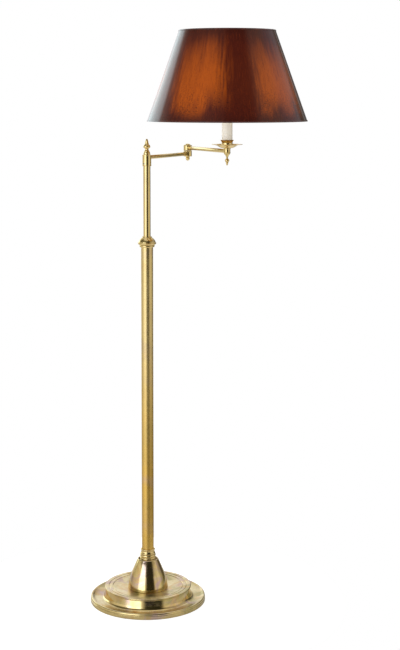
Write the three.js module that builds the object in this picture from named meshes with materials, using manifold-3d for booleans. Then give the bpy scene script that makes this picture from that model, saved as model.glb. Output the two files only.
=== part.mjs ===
// Swing-arm floor lamp, in millimetres, +Z up.
// The origin is the centre of the base where it stands on the floor, on the column's axis.
// Two equal arms fold in a V: the shade hangs over +X and the elbow lies behind, over +Y.
import * as THREE from "three";
import { mergeVertices } from "three/addons/utils/BufferGeometryUtils.js";
import Module from "manifold-3d";

const wasm = await Module();
wasm.setup();

// ---------- driving dimensions ----------

const GAP = 0.3; // between two pieces that touch
const LARGE = 32; // sides of a large turned piece
const MEDIUM = 20;
const SMALL = 12;

const BASE_RADIUS = 146.3;
const DISH_LEVEL = 9; // floor of the ring-shaped dish round the step
const STEP_RADIUS = 110; // rim of the raised step
const STEP_TOP = 38.9;
const WELL_LEVEL = 32.4; // middle of the step, where the cone stands
const CONE_TOP = 108.1;
const STEM_BORE = 7.2; // hole for the threaded pipe that ties the base together
const PIPE_RADIUS = 6.5;

const COLUMN_FOOT = 120.2; // top of the lower neck ring
const COLUMN_RADIUS = 15.15;
const COLUMN_BORE = 13.65;
const COLUMN_TOP = 912;
const COLLAR_TOP = 935.9;

const RISER_RADIUS = 9.1;
const RISER_BORE = 7.9;
const RISER_FOOT = 640;
const RISER_TOP = 1112.3;

const HUB_RADIUS = 11.4; // column hub and both elbow knuckles
const HUB_BOTTOM = 1112.9;
const HUB_TOP = 1141;
const SPINDLE_RADIUS = 6.2;
const FINIAL_FOOT = 1154.6;
const FINIAL_TOP = 1181.4;

const ARM_LENGTH = 240; // axis to axis
const ARM_RADIUS = 5;
const ARM_BORE = 4;
const ARM_SEAT = 8; // distance from a pivot's axis to the tube's end
const ARM_FOLD = 65.2; // degrees each arm is turned away from +X at rest
const ARM_1_HEIGHT = 1134.6;
const KNUCKLE_HEIGHT = 14.4;
const ELBOW_WASHER = 0.6;
const ARM_2_HEIGHT = ARM_1_HEIGHT + KNUCKLE_HEIGHT + ELBOW_WASHER + 2 * GAP;
const PIN_RADIUS = 4.1;

const END_HUB_RADIUS = 8.8;
const END_HUB_TOP = 1157.3;
const PAN_RADIUS = 39.2;
const CUP_TOP = 1178.4;
const SLEEVE_RADIUS = 13.55;
const SLEEVE_BOTTOM = 1175.6;
const SLEEVE_TOP = 1262;
const NIPPLE_RADIUS = 4.3;

const HOLDER_RADIUS = 19.5;
const HOLDER_TOP = 1318;
const SWITCH_HEIGHT = 1282;
const CARRIER_SEAT = 1295.8; // underside of the carrier's clamped ring
const CARRIER_TOP = 1413;
const BULB_TOP = 1401.8;

const SHADE_BOTTOM = 1225.2;
const SHADE_TOP = 1452.2;
const SHADE_BOTTOM_RADIUS = 201;
const SHADE_TOP_RADIUS = 119.4;
const SHADE_CARD = 1.1;
const SPIDER_ARMS = 3;

// ---------- materials ----------

const finish = (color, roughness, metalness) =>
  new THREE.MeshStandardMaterial({ color, roughness, metalness });
const brass = finish(0xc2a25a, 0.25, 1);
const steel = finish(0xa9abad, 0.4, 1);
const iron = finish(0x3c3b39, 0.8, 0.6);
const felt = finish(0x2c3a2e, 0.95, 0);
const nylon = finish(0xe6e2d6, 0.5, 0);
const card = finish(0xefe8d6, 0.6, 0);
const porcelain = finish(0xf3f1ea, 0.3, 0);
const bakelite = finish(0x2a1a12, 0.35, 0);
const rubber = finish(0x1b1b1b, 0.8, 0);
const glass = finish(0xf7f5ee, 0.15, 0);
const lacquer = finish(0x5a2412, 0.18, 0);
const lining = finish(0xc9a24e, 0.45, 0.4);
const trim = finish(0x2b100b, 0.3, 0);

// ---------- building blocks ----------

// A path of lines and curves in (radius, height), drawn with the THREE.Path calls that `draw` makes.
function outline(draw, divisions = 2) {
  const path = new THREE.Path();
  draw(path);
  return path.getPoints(divisions);
}

// A rectangle in (radius, height): the section of a plain tube, ring or disc.
function section(inner, outer, low, high) {
  return [
    new THREE.Vector2(inner, low),
    new THREE.Vector2(outer, low),
    new THREE.Vector2(outer, high),
    new THREE.Vector2(inner, high),
  ];
}

// A round wire's section in (radius, height).
function wireSection(radius, height, wire, sides = 6) {
  return Array.from({ length: sides }, (_, i) => {
    const angle = (i / sides) * 2 * Math.PI;
    return new THREE.Vector2(radius + wire * Math.cos(angle), height + wire * Math.sin(angle));
  });
}

// Turns a profile about the Z axis. A profile that meets the axis starts and ends on it; any other
// profile is closed on itself.
function turned(profile, sides) {
  const after = (i) => profile[(i + 1) % profile.length];
  const first = profile.findIndex((p, i) => p.x < 1e-6 && after(i).x > 1e-6);
  const start = Math.max(first, 0);
  const points = [...profile.slice(start), ...profile.slice(0, start)];
  if (first < 0) points.push(points[0].clone());
  const area = points.reduce((sum, p, i) => {
    const q = points[(i + 1) % points.length];
    return sum + p.x * q.y - q.x * p.y;
  }, 0);
  if (area < 0) points.reverse();
  return new THREE.LatheGeometry(points, sides).rotateX(Math.PI / 2);
}

// Lays a piece turned about Z along +X.
const alongX = (geometry) => geometry.rotateY(Math.PI / 2);

// A geometry as a manifold-3d solid.
function solid(geometry) {
  const bare = geometry.clone();
  bare.deleteAttribute("normal");
  bare.deleteAttribute("uv");
  const merged = mergeVertices(bare, 1e-4);
  return new wasm.Manifold(
    new wasm.Mesh({
      numProp: 3,
      vertProperties: merged.attributes.position.array,
      triVerts: new Uint32Array(merged.index.array),
    }),
  );
}

// A manifold-3d solid as a geometry.
function geometryOf(body) {
  const { vertProperties, triVerts } = body.getMesh();
  return new THREE.BufferGeometry()
    .setAttribute("position", new THREE.BufferAttribute(vertProperties, 3))
    .setIndex(new THREE.BufferAttribute(triVerts, 1));
}

const cut = (geometry, ...tools) =>
  geometryOf(tools.reduce((body, tool) => body.subtract(solid(tool)), solid(geometry)));
const join = (geometry, ...others) =>
  geometryOf(others.reduce((body, other) => body.add(solid(other)), solid(geometry)));

// A round rod along X, from x0 to x1 at a height.
function rodX(radius, x0, x1, height, sides = SMALL) {
  return alongX(turned(section(0, radius, x0, x1), sides)).translate(0, 0, height);
}

// A wire of round section along a smooth curve through points.
function wireAlong(points, radius, steps) {
  const circle = new THREE.Shape().absarc(0, 0, radius, 0, 2 * Math.PI);
  return new THREE.ExtrudeGeometry(new THREE.Shape(circle.getPoints(3).slice(0, -1)), {
    steps,
    extrudePath: new THREE.CatmullRomCurve3(points),
    bevelEnabled: false,
  });
}

const lamp = new THREE.Group();

function add(parent, name, geometry, material) {
  const mesh = new THREE.Mesh(geometry, material.clone());
  mesh.name = name;
  parent.add(mesh);
}

// ---------- base ----------

function addBase(stand) {
  // Brass shell: lip, dish, flared step wall, overhanging rim, two grooves and a shallow well.
  const shell = outline((p) => {
    p.moveTo(144.6, 0.9);
    p.lineTo(BASE_RADIUS, 0.9);
    p.lineTo(BASE_RADIUS, 9.4);
    p.lineTo(145.5, 10);
    p.lineTo(145.5, 12.2);
    p.quadraticCurveTo(145.4, 15.1, 142.6, 15.1);
    p.lineTo(140.2, 14.9);
    p.quadraticCurveTo(131, DISH_LEVEL, 120, DISH_LEVEL);
    p.bezierCurveTo(113.4, 9.2, 110.2, 13, 109, 20.4);
    p.lineTo(106.6, 34);
    p.lineTo(109.4, 35.2);
    p.quadraticCurveTo(STEP_RADIUS + 1.6, 36.6, STEP_RADIUS - 0.6, STEP_TOP - 0.6);
    p.lineTo(107.6, STEP_TOP);
    p.lineTo(100, 38.5);
    p.lineTo(98.8, 37.5);
    p.lineTo(97.6, 38.4);
    p.lineTo(90.2, 37.6);
    p.lineTo(88.8, 36.4);
    p.lineTo(87.4, 37.2);
    p.quadraticCurveTo(68, WELL_LEVEL, 48, WELL_LEVEL);
    p.lineTo(STEM_BORE, WELL_LEVEL);
    p.lineTo(STEM_BORE, 30.8);
    p.lineTo(48, 30.8);
    p.quadraticCurveTo(68, 31, 86, 34.4);
    p.lineTo(102, 35.8);
    p.lineTo(104.9, 33);
    p.lineTo(107.3, 20.4);
    p.bezierCurveTo(108.6, 12, 111.6, 7.4, 120, 7.4);
    p.quadraticCurveTo(131, 7.4, 139.5, 12.2);
    p.lineTo(144, 12.6);
  });
  const outletHeight = 22.5;
  const outlet = rodX(4.6, 96, 116, outletHeight).rotateZ(Math.PI / 2);
  add(stand, "base_flange", cut(turned(shell, LARGE), outlet), brass);

  // Cast weight that fills the shell, with a recess for the nut and a groove for the cable.
  const weight = outline((p) => {
    p.moveTo(20, 5.2);
    p.lineTo(136, 5.2);
    p.lineTo(136, 7);
    p.lineTo(116, 7);
    p.bezierCurveTo(106.6, 7, 103.2, 13.2, 103.2, 22);
    p.lineTo(103.2, 28);
    p.lineTo(101.4, 29.8);
    p.lineTo(STEM_BORE, 29.8);
    p.lineTo(STEM_BORE, 17.8);
    p.lineTo(20, 17.8);
  });
  const groove = new THREE.BoxGeometry(10, 98, 24).translate(0, 59, 16);
  add(stand, "base_weight", cut(turned(weight, LARGE), groove), iron);

  add(stand, "base_plate", turned(section(0, 140, 3, 4.9), LARGE), steel);
  add(stand, "base_felt", turned(section(0, 141.5, 0, 2.7), LARGE), felt);

  const grommet = outline((p) => {
    p.moveTo(2.9, 103);
    p.lineTo(4.2, 103);
    p.lineTo(4.2, 111);
    p.lineTo(5.4, 111);
    p.quadraticCurveTo(5.4, 113.4, 2.9, 113.4);
  });
  const grommetBody = alongX(turned(grommet, SMALL)).rotateZ(Math.PI / 2);
  add(stand, "cable_grommet", grommetBody.translate(0, 0, outletHeight), rubber);

  // Bell-shaped cone, with a rolled rim round a recess that takes the neck ring.
  const cone = outline((p) => {
    p.moveTo(47, WELL_LEVEL + GAP);
    p.lineTo(51, WELL_LEVEL + GAP);
    p.quadraticCurveTo(51.2, 35, 50.8, 36.6);
    p.quadraticCurveTo(47.8, 56, 41.6, 72.5);
    p.lineTo(27.4, 105);
    p.quadraticCurveTo(26.4, CONE_TOP, 25.2, CONE_TOP);
    p.quadraticCurveTo(24, CONE_TOP, 23.4, 106.4);
    p.lineTo(23.4, 104.2);
    p.lineTo(STEM_BORE, 104.2);
    p.lineTo(STEM_BORE, 101.8);
    p.lineTo(24.4, 101.8);
    p.lineTo(40.4, 71.5);
    p.quadraticCurveTo(46, 56, 48.6, 37);
  });
  add(stand, "base_cone", turned(cone, LARGE), brass);

  // Threaded pipe, nut and washer that clamp the base, the cone and the column together.
  const pipeBore = 4.6;
  add(stand, "base_pipe", turned(section(pipeBore, PIPE_RADIUS, 8, 140), SMALL), steel);
  const hexagon = new THREE.Shape(
    Array.from({ length: 6 }, (_, i) => {
      const angle = (i * Math.PI) / 3;
      return new THREE.Vector2(11 * Math.cos(angle), 11 * Math.sin(angle));
    }),
  );
  hexagon.holes.push(new THREE.Path().absarc(0, 0, PIPE_RADIUS + GAP, 0, 2 * Math.PI, true));
  const nut = new THREE.ExtrudeGeometry(hexagon, { depth: 6.9, bevelEnabled: false });
  add(stand, "base_nut", nut.translate(0, 0, 8.5), steel);
  const washer = section(PIPE_RADIUS + GAP, 16, 15.7, 17.5);
  add(stand, "base_washer", turned(washer, SMALL), steel);
}

// ---------- column ----------

function addColumn(stand) {
  const lowerRing = outline((p) => {
    p.moveTo(STEM_BORE, 104.5);
    p.lineTo(20.3, 104.5);
    p.lineTo(20.3, 106.8);
    p.lineTo(19.3, 107.8);
    p.quadraticCurveTo(21.6, 111, 19.4, 114.6);
    p.quadraticCurveTo(21.6, 117.2, 19, COLUMN_FOOT);
    p.lineTo(STEM_BORE, COLUMN_FOOT);
  });
  add(stand, "neck_ring_lower", turned(lowerRing, MEDIUM), brass);

  const upperRing = outline((p) => {
    p.moveTo(COLUMN_RADIUS + 0.4, COLUMN_FOOT + GAP);
    p.lineTo(18.6, COLUMN_FOOT + GAP);
    p.quadraticCurveTo(19.4, 122.4, 18.9, 124.4);
    p.lineTo(17.7, 132);
    p.quadraticCurveTo(17.4, 134.1, 16.4, 134.1);
    p.lineTo(COLUMN_RADIUS + 0.4, 133.6);
  });
  add(stand, "neck_ring_upper", turned(upperRing, MEDIUM), brass);

  const foot = COLUMN_FOOT + GAP;
  const plug = section(PIPE_RADIUS + GAP, COLUMN_BORE - GAP, foot, 150);
  add(stand, "column_plug", turned(plug, MEDIUM), brass);
  const tube = section(COLUMN_BORE, COLUMN_RADIUS, foot, COLUMN_TOP);
  add(stand, "column_tube", turned(tube, MEDIUM), brass);

  // Threaded ring on the column's top end, which the locking collar screws down on.
  const seat = outline((p) => {
    p.moveTo(COLUMN_RADIUS + GAP, 908.9);
    p.lineTo(18.6, 908.9);
    p.lineTo(19.3, 909.8);
    p.lineTo(19.3, 912.8);
    p.lineTo(18.6, 913.6);
    p.lineTo(16.6, 913.6);
    p.lineTo(16.6, 924.5);
    p.lineTo(COLUMN_BORE + 0.1, 924.5);
    p.lineTo(COLUMN_BORE + 0.1, COLUMN_TOP + GAP);
    p.lineTo(COLUMN_RADIUS + GAP, COLUMN_TOP + GAP);
  });
  add(stand, "collar_seat", turned(seat, MEDIUM), brass);

  // Slit bush that the collar squeezes onto the riser.
  const collet = outline((p) => {
    p.moveTo(RISER_RADIUS + GAP, 902);
    p.lineTo(13.2, 902);
    p.lineTo(13.2, 925.6);
    p.lineTo(11.2, 930);
    p.lineTo(RISER_RADIUS + GAP, 930);
  });
  const slits = Array.from({ length: 4 }, (_, i) =>
    new THREE.BoxGeometry(10, 0.8, 20)
      .translate(12, 0, 921)
      .rotateZ(((i + 0.5) * Math.PI) / 2),
  );
  add(stand, "collar_collet", cut(turned(collet, SMALL), ...slits), nylon);
}

function addLockingCollar(collar) {
  const cap = outline((p) => {
    p.moveTo(17.1, 914);
    p.lineTo(20, 914);
    p.lineTo(22, 915.6);
    p.quadraticCurveTo(24.4, 918.4, 22.6, 920.8);
    p.lineTo(21.6, 921.4);
    p.quadraticCurveTo(18.6, 927.6, 13.4, 932.2);
    p.quadraticCurveTo(11.2, 933.8, 11, COLLAR_TOP);
    p.lineTo(RISER_RADIUS + 0.4, COLLAR_TOP);
    p.lineTo(RISER_RADIUS + 0.4, 931.2);
    p.lineTo(11.9, 931.2);
    p.lineTo(14.2, 926.6);
    p.lineTo(17.1, 926);
  });
  add(collar, "locking_collar", turned(cap, MEDIUM), brass);
}

// ---------- riser, with the spindle and finial that hold the arm ----------

function addRiser(riser) {
  const tube = section(RISER_BORE, RISER_RADIUS, RISER_FOOT, RISER_TOP);
  add(riser, "riser_tube", turned(tube, SMALL), brass);

  const guide = outline((p) => {
    p.moveTo(RISER_BORE, RISER_FOOT - 5);
    p.lineTo(COLUMN_BORE - 0.4, RISER_FOOT - 5);
    p.lineTo(COLUMN_BORE - 0.4, RISER_FOOT + 24);
    p.lineTo(RISER_RADIUS + GAP, RISER_FOOT + 24);
    p.lineTo(RISER_RADIUS + GAP, RISER_FOOT - GAP);
    p.lineTo(RISER_BORE, RISER_FOOT - GAP);
  });
  add(riser, "riser_guide", turned(guide, MEDIUM), nylon);

  // Hollow spindle: plug in the tube, shoulder under the hub, journal, and a stud for the finial.
  const journalTop = HUB_TOP + GAP;
  const spindle = outline((p) => {
    p.moveTo(0, 1138.6);
    p.lineTo(3.6, 1138.6);
    p.lineTo(3.6, 1092);
    p.lineTo(RISER_BORE - GAP, 1092);
    p.lineTo(RISER_BORE - GAP, RISER_TOP + GAP);
    p.lineTo(RISER_RADIUS, RISER_TOP + GAP);
    p.lineTo(RISER_RADIUS, 1114.8);
    p.lineTo(SPINDLE_RADIUS, 1114.8);
    p.lineTo(SPINDLE_RADIUS, journalTop);
    p.lineTo(3.4, journalTop);
    p.lineTo(3.4, 1160);
    p.lineTo(0, 1160);
  });
  const wireWindow = rodX(3, 0, 9, ARM_1_HEIGHT, 12).rotateZ(THREE.MathUtils.degToRad(ARM_FOLD));
  add(riser, "hub_spindle", cut(turned(spindle, SMALL), wireWindow), brass);

  const dome = outline((p) => {
    p.moveTo(3.8, HUB_TOP + 2 * GAP);
    p.lineTo(9, HUB_TOP + 2 * GAP);
    p.quadraticCurveTo(9.2, 1146.6, 6.4, 1151.8);
    p.quadraticCurveTo(4.9, 1153, 4.8, FINIAL_FOOT - GAP);
    p.lineTo(3.8, FINIAL_FOOT - GAP);
  });
  add(riser, "finial_dome", turned(dome, SMALL), brass);

  const finial = outline((p) => {
    p.moveTo(3.8, FINIAL_FOOT);
    p.lineTo(4.7, FINIAL_FOOT);
    p.quadraticCurveTo(4.4, 1156.4, 6, 1157.8);
    p.quadraticCurveTo(9.1, 1159.2, 9, 1162.1);
    p.quadraticCurveTo(8.8, 1164.6, 6.8, 1166.4);
    p.quadraticCurveTo(4.6, 1168.6, 4, 1173.1);
    p.lineTo(2.4, 1179.6);
    p.quadraticCurveTo(1.8, FINIAL_TOP, 0, FINIAL_TOP);
    p.lineTo(0, 1160.6);
    p.lineTo(3.8, 1160.6);
  }, 3);
  add(riser, "top_finial", turned(finial, SMALL), brass);
}

// ---------- first arm: column hub to lower knuckle, along the group's +X ----------

// The seat that an arm's tube end is brazed into, with the cable's passage beyond it.
function armSeat(pivot, side, height) {
  const end = (distance) => pivot + side * distance;
  const [low, high] = [end(ARM_SEAT - GAP), end(18)].sort((a, b) => a - b);
  return rodX(ARM_RADIUS + GAP, low, high, height);
}

function armTube(height) {
  const tube = section(ARM_BORE, ARM_RADIUS, ARM_SEAT, ARM_LENGTH - ARM_SEAT);
  return alongX(turned(tube, SMALL)).translate(0, 0, height);
}

function knuckle(height) {
  const half = KNUCKLE_HEIGHT / 2;
  const chamfer = 0.7;
  const body = outline((p) => {
    p.moveTo(PIN_RADIUS + 0.4, height - half);
    p.lineTo(HUB_RADIUS - chamfer, height - half);
    p.lineTo(HUB_RADIUS, height - half + chamfer);
    p.lineTo(HUB_RADIUS, height + half - chamfer);
    p.lineTo(HUB_RADIUS - chamfer, height + half);
    p.lineTo(PIN_RADIUS + 0.4, height + half);
  });
  return turned(body, SMALL);
}

function addArm1(arm) {
  const hub = outline((p) => {
    p.moveTo(RISER_RADIUS + 0.4, HUB_BOTTOM);
    p.lineTo(10.8, HUB_BOTTOM);
    p.lineTo(HUB_RADIUS, HUB_BOTTOM + 0.6);
    p.lineTo(HUB_RADIUS, HUB_TOP - 0.6);
    p.lineTo(10.8, HUB_TOP);
    p.lineTo(SPINDLE_RADIUS + 0.4, HUB_TOP);
    p.lineTo(SPINDLE_RADIUS + 0.4, 1115.2);
    p.lineTo(RISER_RADIUS + 0.4, 1115.2);
  });
  const screwTurn = THREE.MathUtils.degToRad(168);
  const screwHeight = 1119;
  const screwHole = rodX(2.1, 7.8, 14, screwHeight, 12).rotateZ(screwTurn);
  const hubBody = cut(turned(hub, MEDIUM), armSeat(0, 1, ARM_1_HEIGHT), screwHole);
  add(arm, "column_hub", hubBody, brass);
  const screw = rodX(1.8, 8.1, HUB_RADIUS - 0.4, screwHeight, 12).rotateZ(screwTurn);
  add(arm, "hub_screw", screw, steel);

  add(arm, "arm_1_tube", armTube(ARM_1_HEIGHT), brass);
  const lowerKnuckle = cut(
    knuckle(ARM_1_HEIGHT).translate(ARM_LENGTH, 0, 0),
    armSeat(ARM_LENGTH, -1, ARM_1_HEIGHT),
  );
  add(arm, "elbow_knuckle_lower", lowerKnuckle, brass);

  const washerLow = ARM_1_HEIGHT + KNUCKLE_HEIGHT / 2 + GAP;
  const washer = turned(section(PIN_RADIUS + 0.4, 10.2, washerLow, washerLow + ELBOW_WASHER), SMALL);
  add(arm, "elbow_washer", washer.translate(ARM_LENGTH, 0, 0), nylon);

  // Shouldered pin: low cap above, journal through both knuckles, thread for the nut below.
  const capLow = ARM_2_HEIGHT + KNUCKLE_HEIGHT / 2 + GAP;
  const nutTop = ARM_1_HEIGHT - KNUCKLE_HEIGHT / 2 - GAP;
  const pin = outline((p) => {
    p.moveTo(0, nutTop - 6);
    p.lineTo(2.6, nutTop - 6);
    p.lineTo(2.6, nutTop + 0.6);
    p.lineTo(PIN_RADIUS, nutTop + 0.6);
    p.lineTo(PIN_RADIUS, capLow);
    p.lineTo(5.7, capLow);
    p.lineTo(5.7, capLow + 1.8);
    p.quadraticCurveTo(5.4, capLow + 3.6, 0, capLow + 3.6);
  });
  add(arm, "elbow_pin", turned(pin, SMALL).translate(ARM_LENGTH, 0, 0), brass);

  const acorn = outline((p) => {
    p.moveTo(2.9, nutTop);
    p.lineTo(5.7, nutTop);
    p.lineTo(5.7, nutTop - 2);
    p.lineTo(4.9, nutTop - 3);
    p.quadraticCurveTo(6.2, nutTop - 6, 3.6, nutTop - 9.4);
    p.quadraticCurveTo(2, nutTop - 11.2, 0, nutTop - 11.2);
    p.lineTo(0, nutTop - 6.4);
    p.lineTo(2.9, nutTop - 6.4);
  });
  add(arm, "elbow_acorn_nut", turned(acorn, SMALL).translate(ARM_LENGTH, 0, 0), brass);
}

// ---------- second arm: upper knuckle to the lampholder ----------

function addArm2(arm) {
  const upperKnuckle = cut(knuckle(ARM_2_HEIGHT), armSeat(0, 1, ARM_2_HEIGHT));
  add(arm, "elbow_knuckle_upper", upperKnuckle, brass);
  add(arm, "arm_2_tube", armTube(ARM_2_HEIGHT), brass);
}

// Everything on the upright at the arm's end is turned about the group's own axis.
function addCandle(end) {
  const hub = outline((p) => {
    p.moveTo(2.1, 1134.5);
    p.lineTo(2.6, 1134.5);
    p.quadraticCurveTo(3.4, 1138, 5.8, 1141);
    p.quadraticCurveTo(END_HUB_RADIUS, 1144.4, END_HUB_RADIUS, 1147.4);
    p.lineTo(END_HUB_RADIUS, END_HUB_TOP);
    p.lineTo(NIPPLE_RADIUS + GAP, END_HUB_TOP);
    p.lineTo(NIPPLE_RADIUS + GAP, 1141.4);
    p.lineTo(2.1, 1141.4);
  });
  const seat = rodX(ARM_RADIUS + GAP, -18, -(NIPPLE_RADIUS + 2.2), ARM_2_HEIGHT);
  add(end, "end_hub", cut(turned(hub, MEDIUM), seat), brass);

  const drop = outline((p) => {
    p.moveTo(0, 1114.1);
    p.quadraticCurveTo(1.2, 1114.2, 1.8, 1116);
    p.lineTo(2.9, 1121.4);
    p.quadraticCurveTo(3, 1122.8, 4.2, 1124.2);
    p.quadraticCurveTo(6.6, 1127.2, 4.4, 1129.8);
    p.quadraticCurveTo(2.2, 1131.8, 2.3, 1134.2);
    p.lineTo(1.8, 1134.2);
    p.lineTo(1.8, 1140.4);
    p.lineTo(0, 1140.4);
  }, 3);
  add(end, "end_drop_finial", turned(drop, SMALL), brass);

  const sheet = 1.3;
  const pan = outline((p) => {
    p.moveTo(NIPPLE_RADIUS + GAP, 1157.6);
    p.lineTo(10, 1157.6);
    p.bezierCurveTo(20, 1158.4, 24, 1166.2, PAN_RADIUS - 0.3, 1166.4);
    p.lineTo(PAN_RADIUS, 1167.2);
    p.lineTo(PAN_RADIUS - 0.3, 1168);
    p.bezierCurveTo(23, 1167.8, 19.4, 1158.4 + sheet, 10, 1157.6 + sheet);
    p.lineTo(NIPPLE_RADIUS + GAP, 1157.6 + sheet);
  }, 4);
  add(end, "drip_pan", turned(pan, LARGE), brass);

  const cup = outline((p) => {
    p.moveTo(NIPPLE_RADIUS + GAP, 1159.2);
    p.lineTo(10, 1159.2);
    p.quadraticCurveTo(14.9, 1160.4, 14.7, 1165);
    p.lineTo(13.8, 1171);
    p.quadraticCurveTo(13.4, 1174.4, 17.2, CUP_TOP - 0.4);
    p.lineTo(16.8, CUP_TOP);
    p.lineTo(15, 1177.2);
    p.lineTo(14, SLEEVE_BOTTOM - GAP);
    p.lineTo(NIPPLE_RADIUS + GAP, SLEEVE_BOTTOM - GAP);
  });
  add(end, "candle_cup", turned(cup, MEDIUM), brass);

  const nipple = section(3.2, NIPPLE_RADIUS, 1142, 1270);
  add(end, "candle_pipe", turned(nipple, SMALL), steel);
  const sleeve = section(SLEEVE_RADIUS - 1.3, SLEEVE_RADIUS, SLEEVE_BOTTOM, SLEEVE_TOP);
  add(end, "candle_sleeve", turned(sleeve, MEDIUM), card);
}

function addLampholder(end) {
  const cap = outline((p) => {
    p.moveTo(NIPPLE_RADIUS + GAP, SLEEVE_TOP + GAP);
    p.lineTo(14, SLEEVE_TOP + GAP);
    p.quadraticCurveTo(HOLDER_RADIUS, 1266, HOLDER_RADIUS, 1275.6);
    p.lineTo(18, 1275.6);
    p.quadraticCurveTo(18, 1265, NIPPLE_RADIUS + GAP, 1265);
  });
  add(end, "lampholder_cap", turned(cap, MEDIUM), brass);

  // Outer shell, with the shoulder that the shade carrier is clamped on.
  const shell = outline((p) => {
    p.moveTo(18, 1275.9);
    p.lineTo(HOLDER_RADIUS, 1275.9);
    p.lineTo(HOLDER_RADIUS, 1292);
    p.lineTo(22.6, 1293);
    p.lineTo(22.6, CARRIER_SEAT - GAP);
    p.lineTo(HOLDER_RADIUS, CARRIER_SEAT - GAP);
    p.lineTo(HOLDER_RADIUS, HOLDER_TOP);
    p.lineTo(18, HOLDER_TOP);
  });
  const stemHole = rodX(2.6, 12, 24, SWITCH_HEIGHT, 16);
  add(end, "lampholder_shell", cut(turned(shell, MEDIUM), stemHole), brass);

  const switchBody = turned(section(0, 16, 1277, 1286.5), SMALL);
  add(end, "switch_body", cut(switchBody, rodX(2.6, 8, 18, SWITCH_HEIGHT, 16)), bakelite);
  const core = outline((p) => {
    p.moveTo(0, 1286.8);
    p.lineTo(17.6, 1286.8);
    p.lineTo(17.6, 1316.4);
    p.lineTo(13.6, 1316.4);
    p.lineTo(13.6, 1289);
    p.lineTo(0, 1289);
  });
  add(end, "lampholder_core", turned(core, MEDIUM), porcelain);
  add(end, "centre_contact", turned(section(0, 3, 1289.3, 1290.2), SMALL), brass);

  const ring = section(HOLDER_RADIUS + GAP, 23.6, 1298.9, 1303.4);
  add(end, "shade_clamp_ring", turned(ring, MEDIUM), brass);

  const capFoot = 1290.5;
  const bulbCap = outline((p) => {
    p.moveTo(0, capFoot);
    p.lineTo(4, capFoot);
    p.lineTo(12.2, 1294.4);
    p.lineTo(13, 1296);
    p.lineTo(13, 1313);
    p.lineTo(12.2, 1316);
    p.lineTo(0, 1316);
  });
  add(end, "bulb_cap", turned(bulbCap, SMALL), steel);
  const wall = 1;
  const neck = 11.6;
  const bulb = outline((p) => {
    p.moveTo(0, BULB_TOP - wall);
    p.bezierCurveTo(16, BULB_TOP - wall, 29, 1390, 29, 1370);
    p.bezierCurveTo(29, 1350, neck, 1345, neck - wall, 1316.3);
    p.lineTo(neck, 1316.3);
    p.bezierCurveTo(neck + wall, 1344, 30, 1349, 30, 1370);
    p.bezierCurveTo(30, 1391, 17, BULB_TOP, 0, BULB_TOP);
  }, 4);
  add(end, "bulb_glass", turned(bulb, SMALL), glass);
}

// Paddle knob on a stem, turning about +X.
function addSwitchKnob(end) {
  const knob = outline((p) => {
    p.moveTo(0, 9);
    p.lineTo(2, 9);
    p.lineTo(2, 26);
    p.lineTo(4.6, 26);
    p.quadraticCurveTo(6.2, 27, 6.2, 30);
    p.quadraticCurveTo(6.2, 38, 3.4, 40);
    p.lineTo(0, 40);
  });
  const flats = [1, -1].map((side) =>
    new THREE.BoxGeometry(10, 6, 14).translate(35.2, side * 5.2, 0),
  );
  const body = cut(alongX(turned(knob, SMALL)), ...flats);
  add(end, "switch_knob", body.translate(0, 0, SWITCH_HEIGHT), bakelite);
}

// ---------- shade and its carrier ----------

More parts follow.
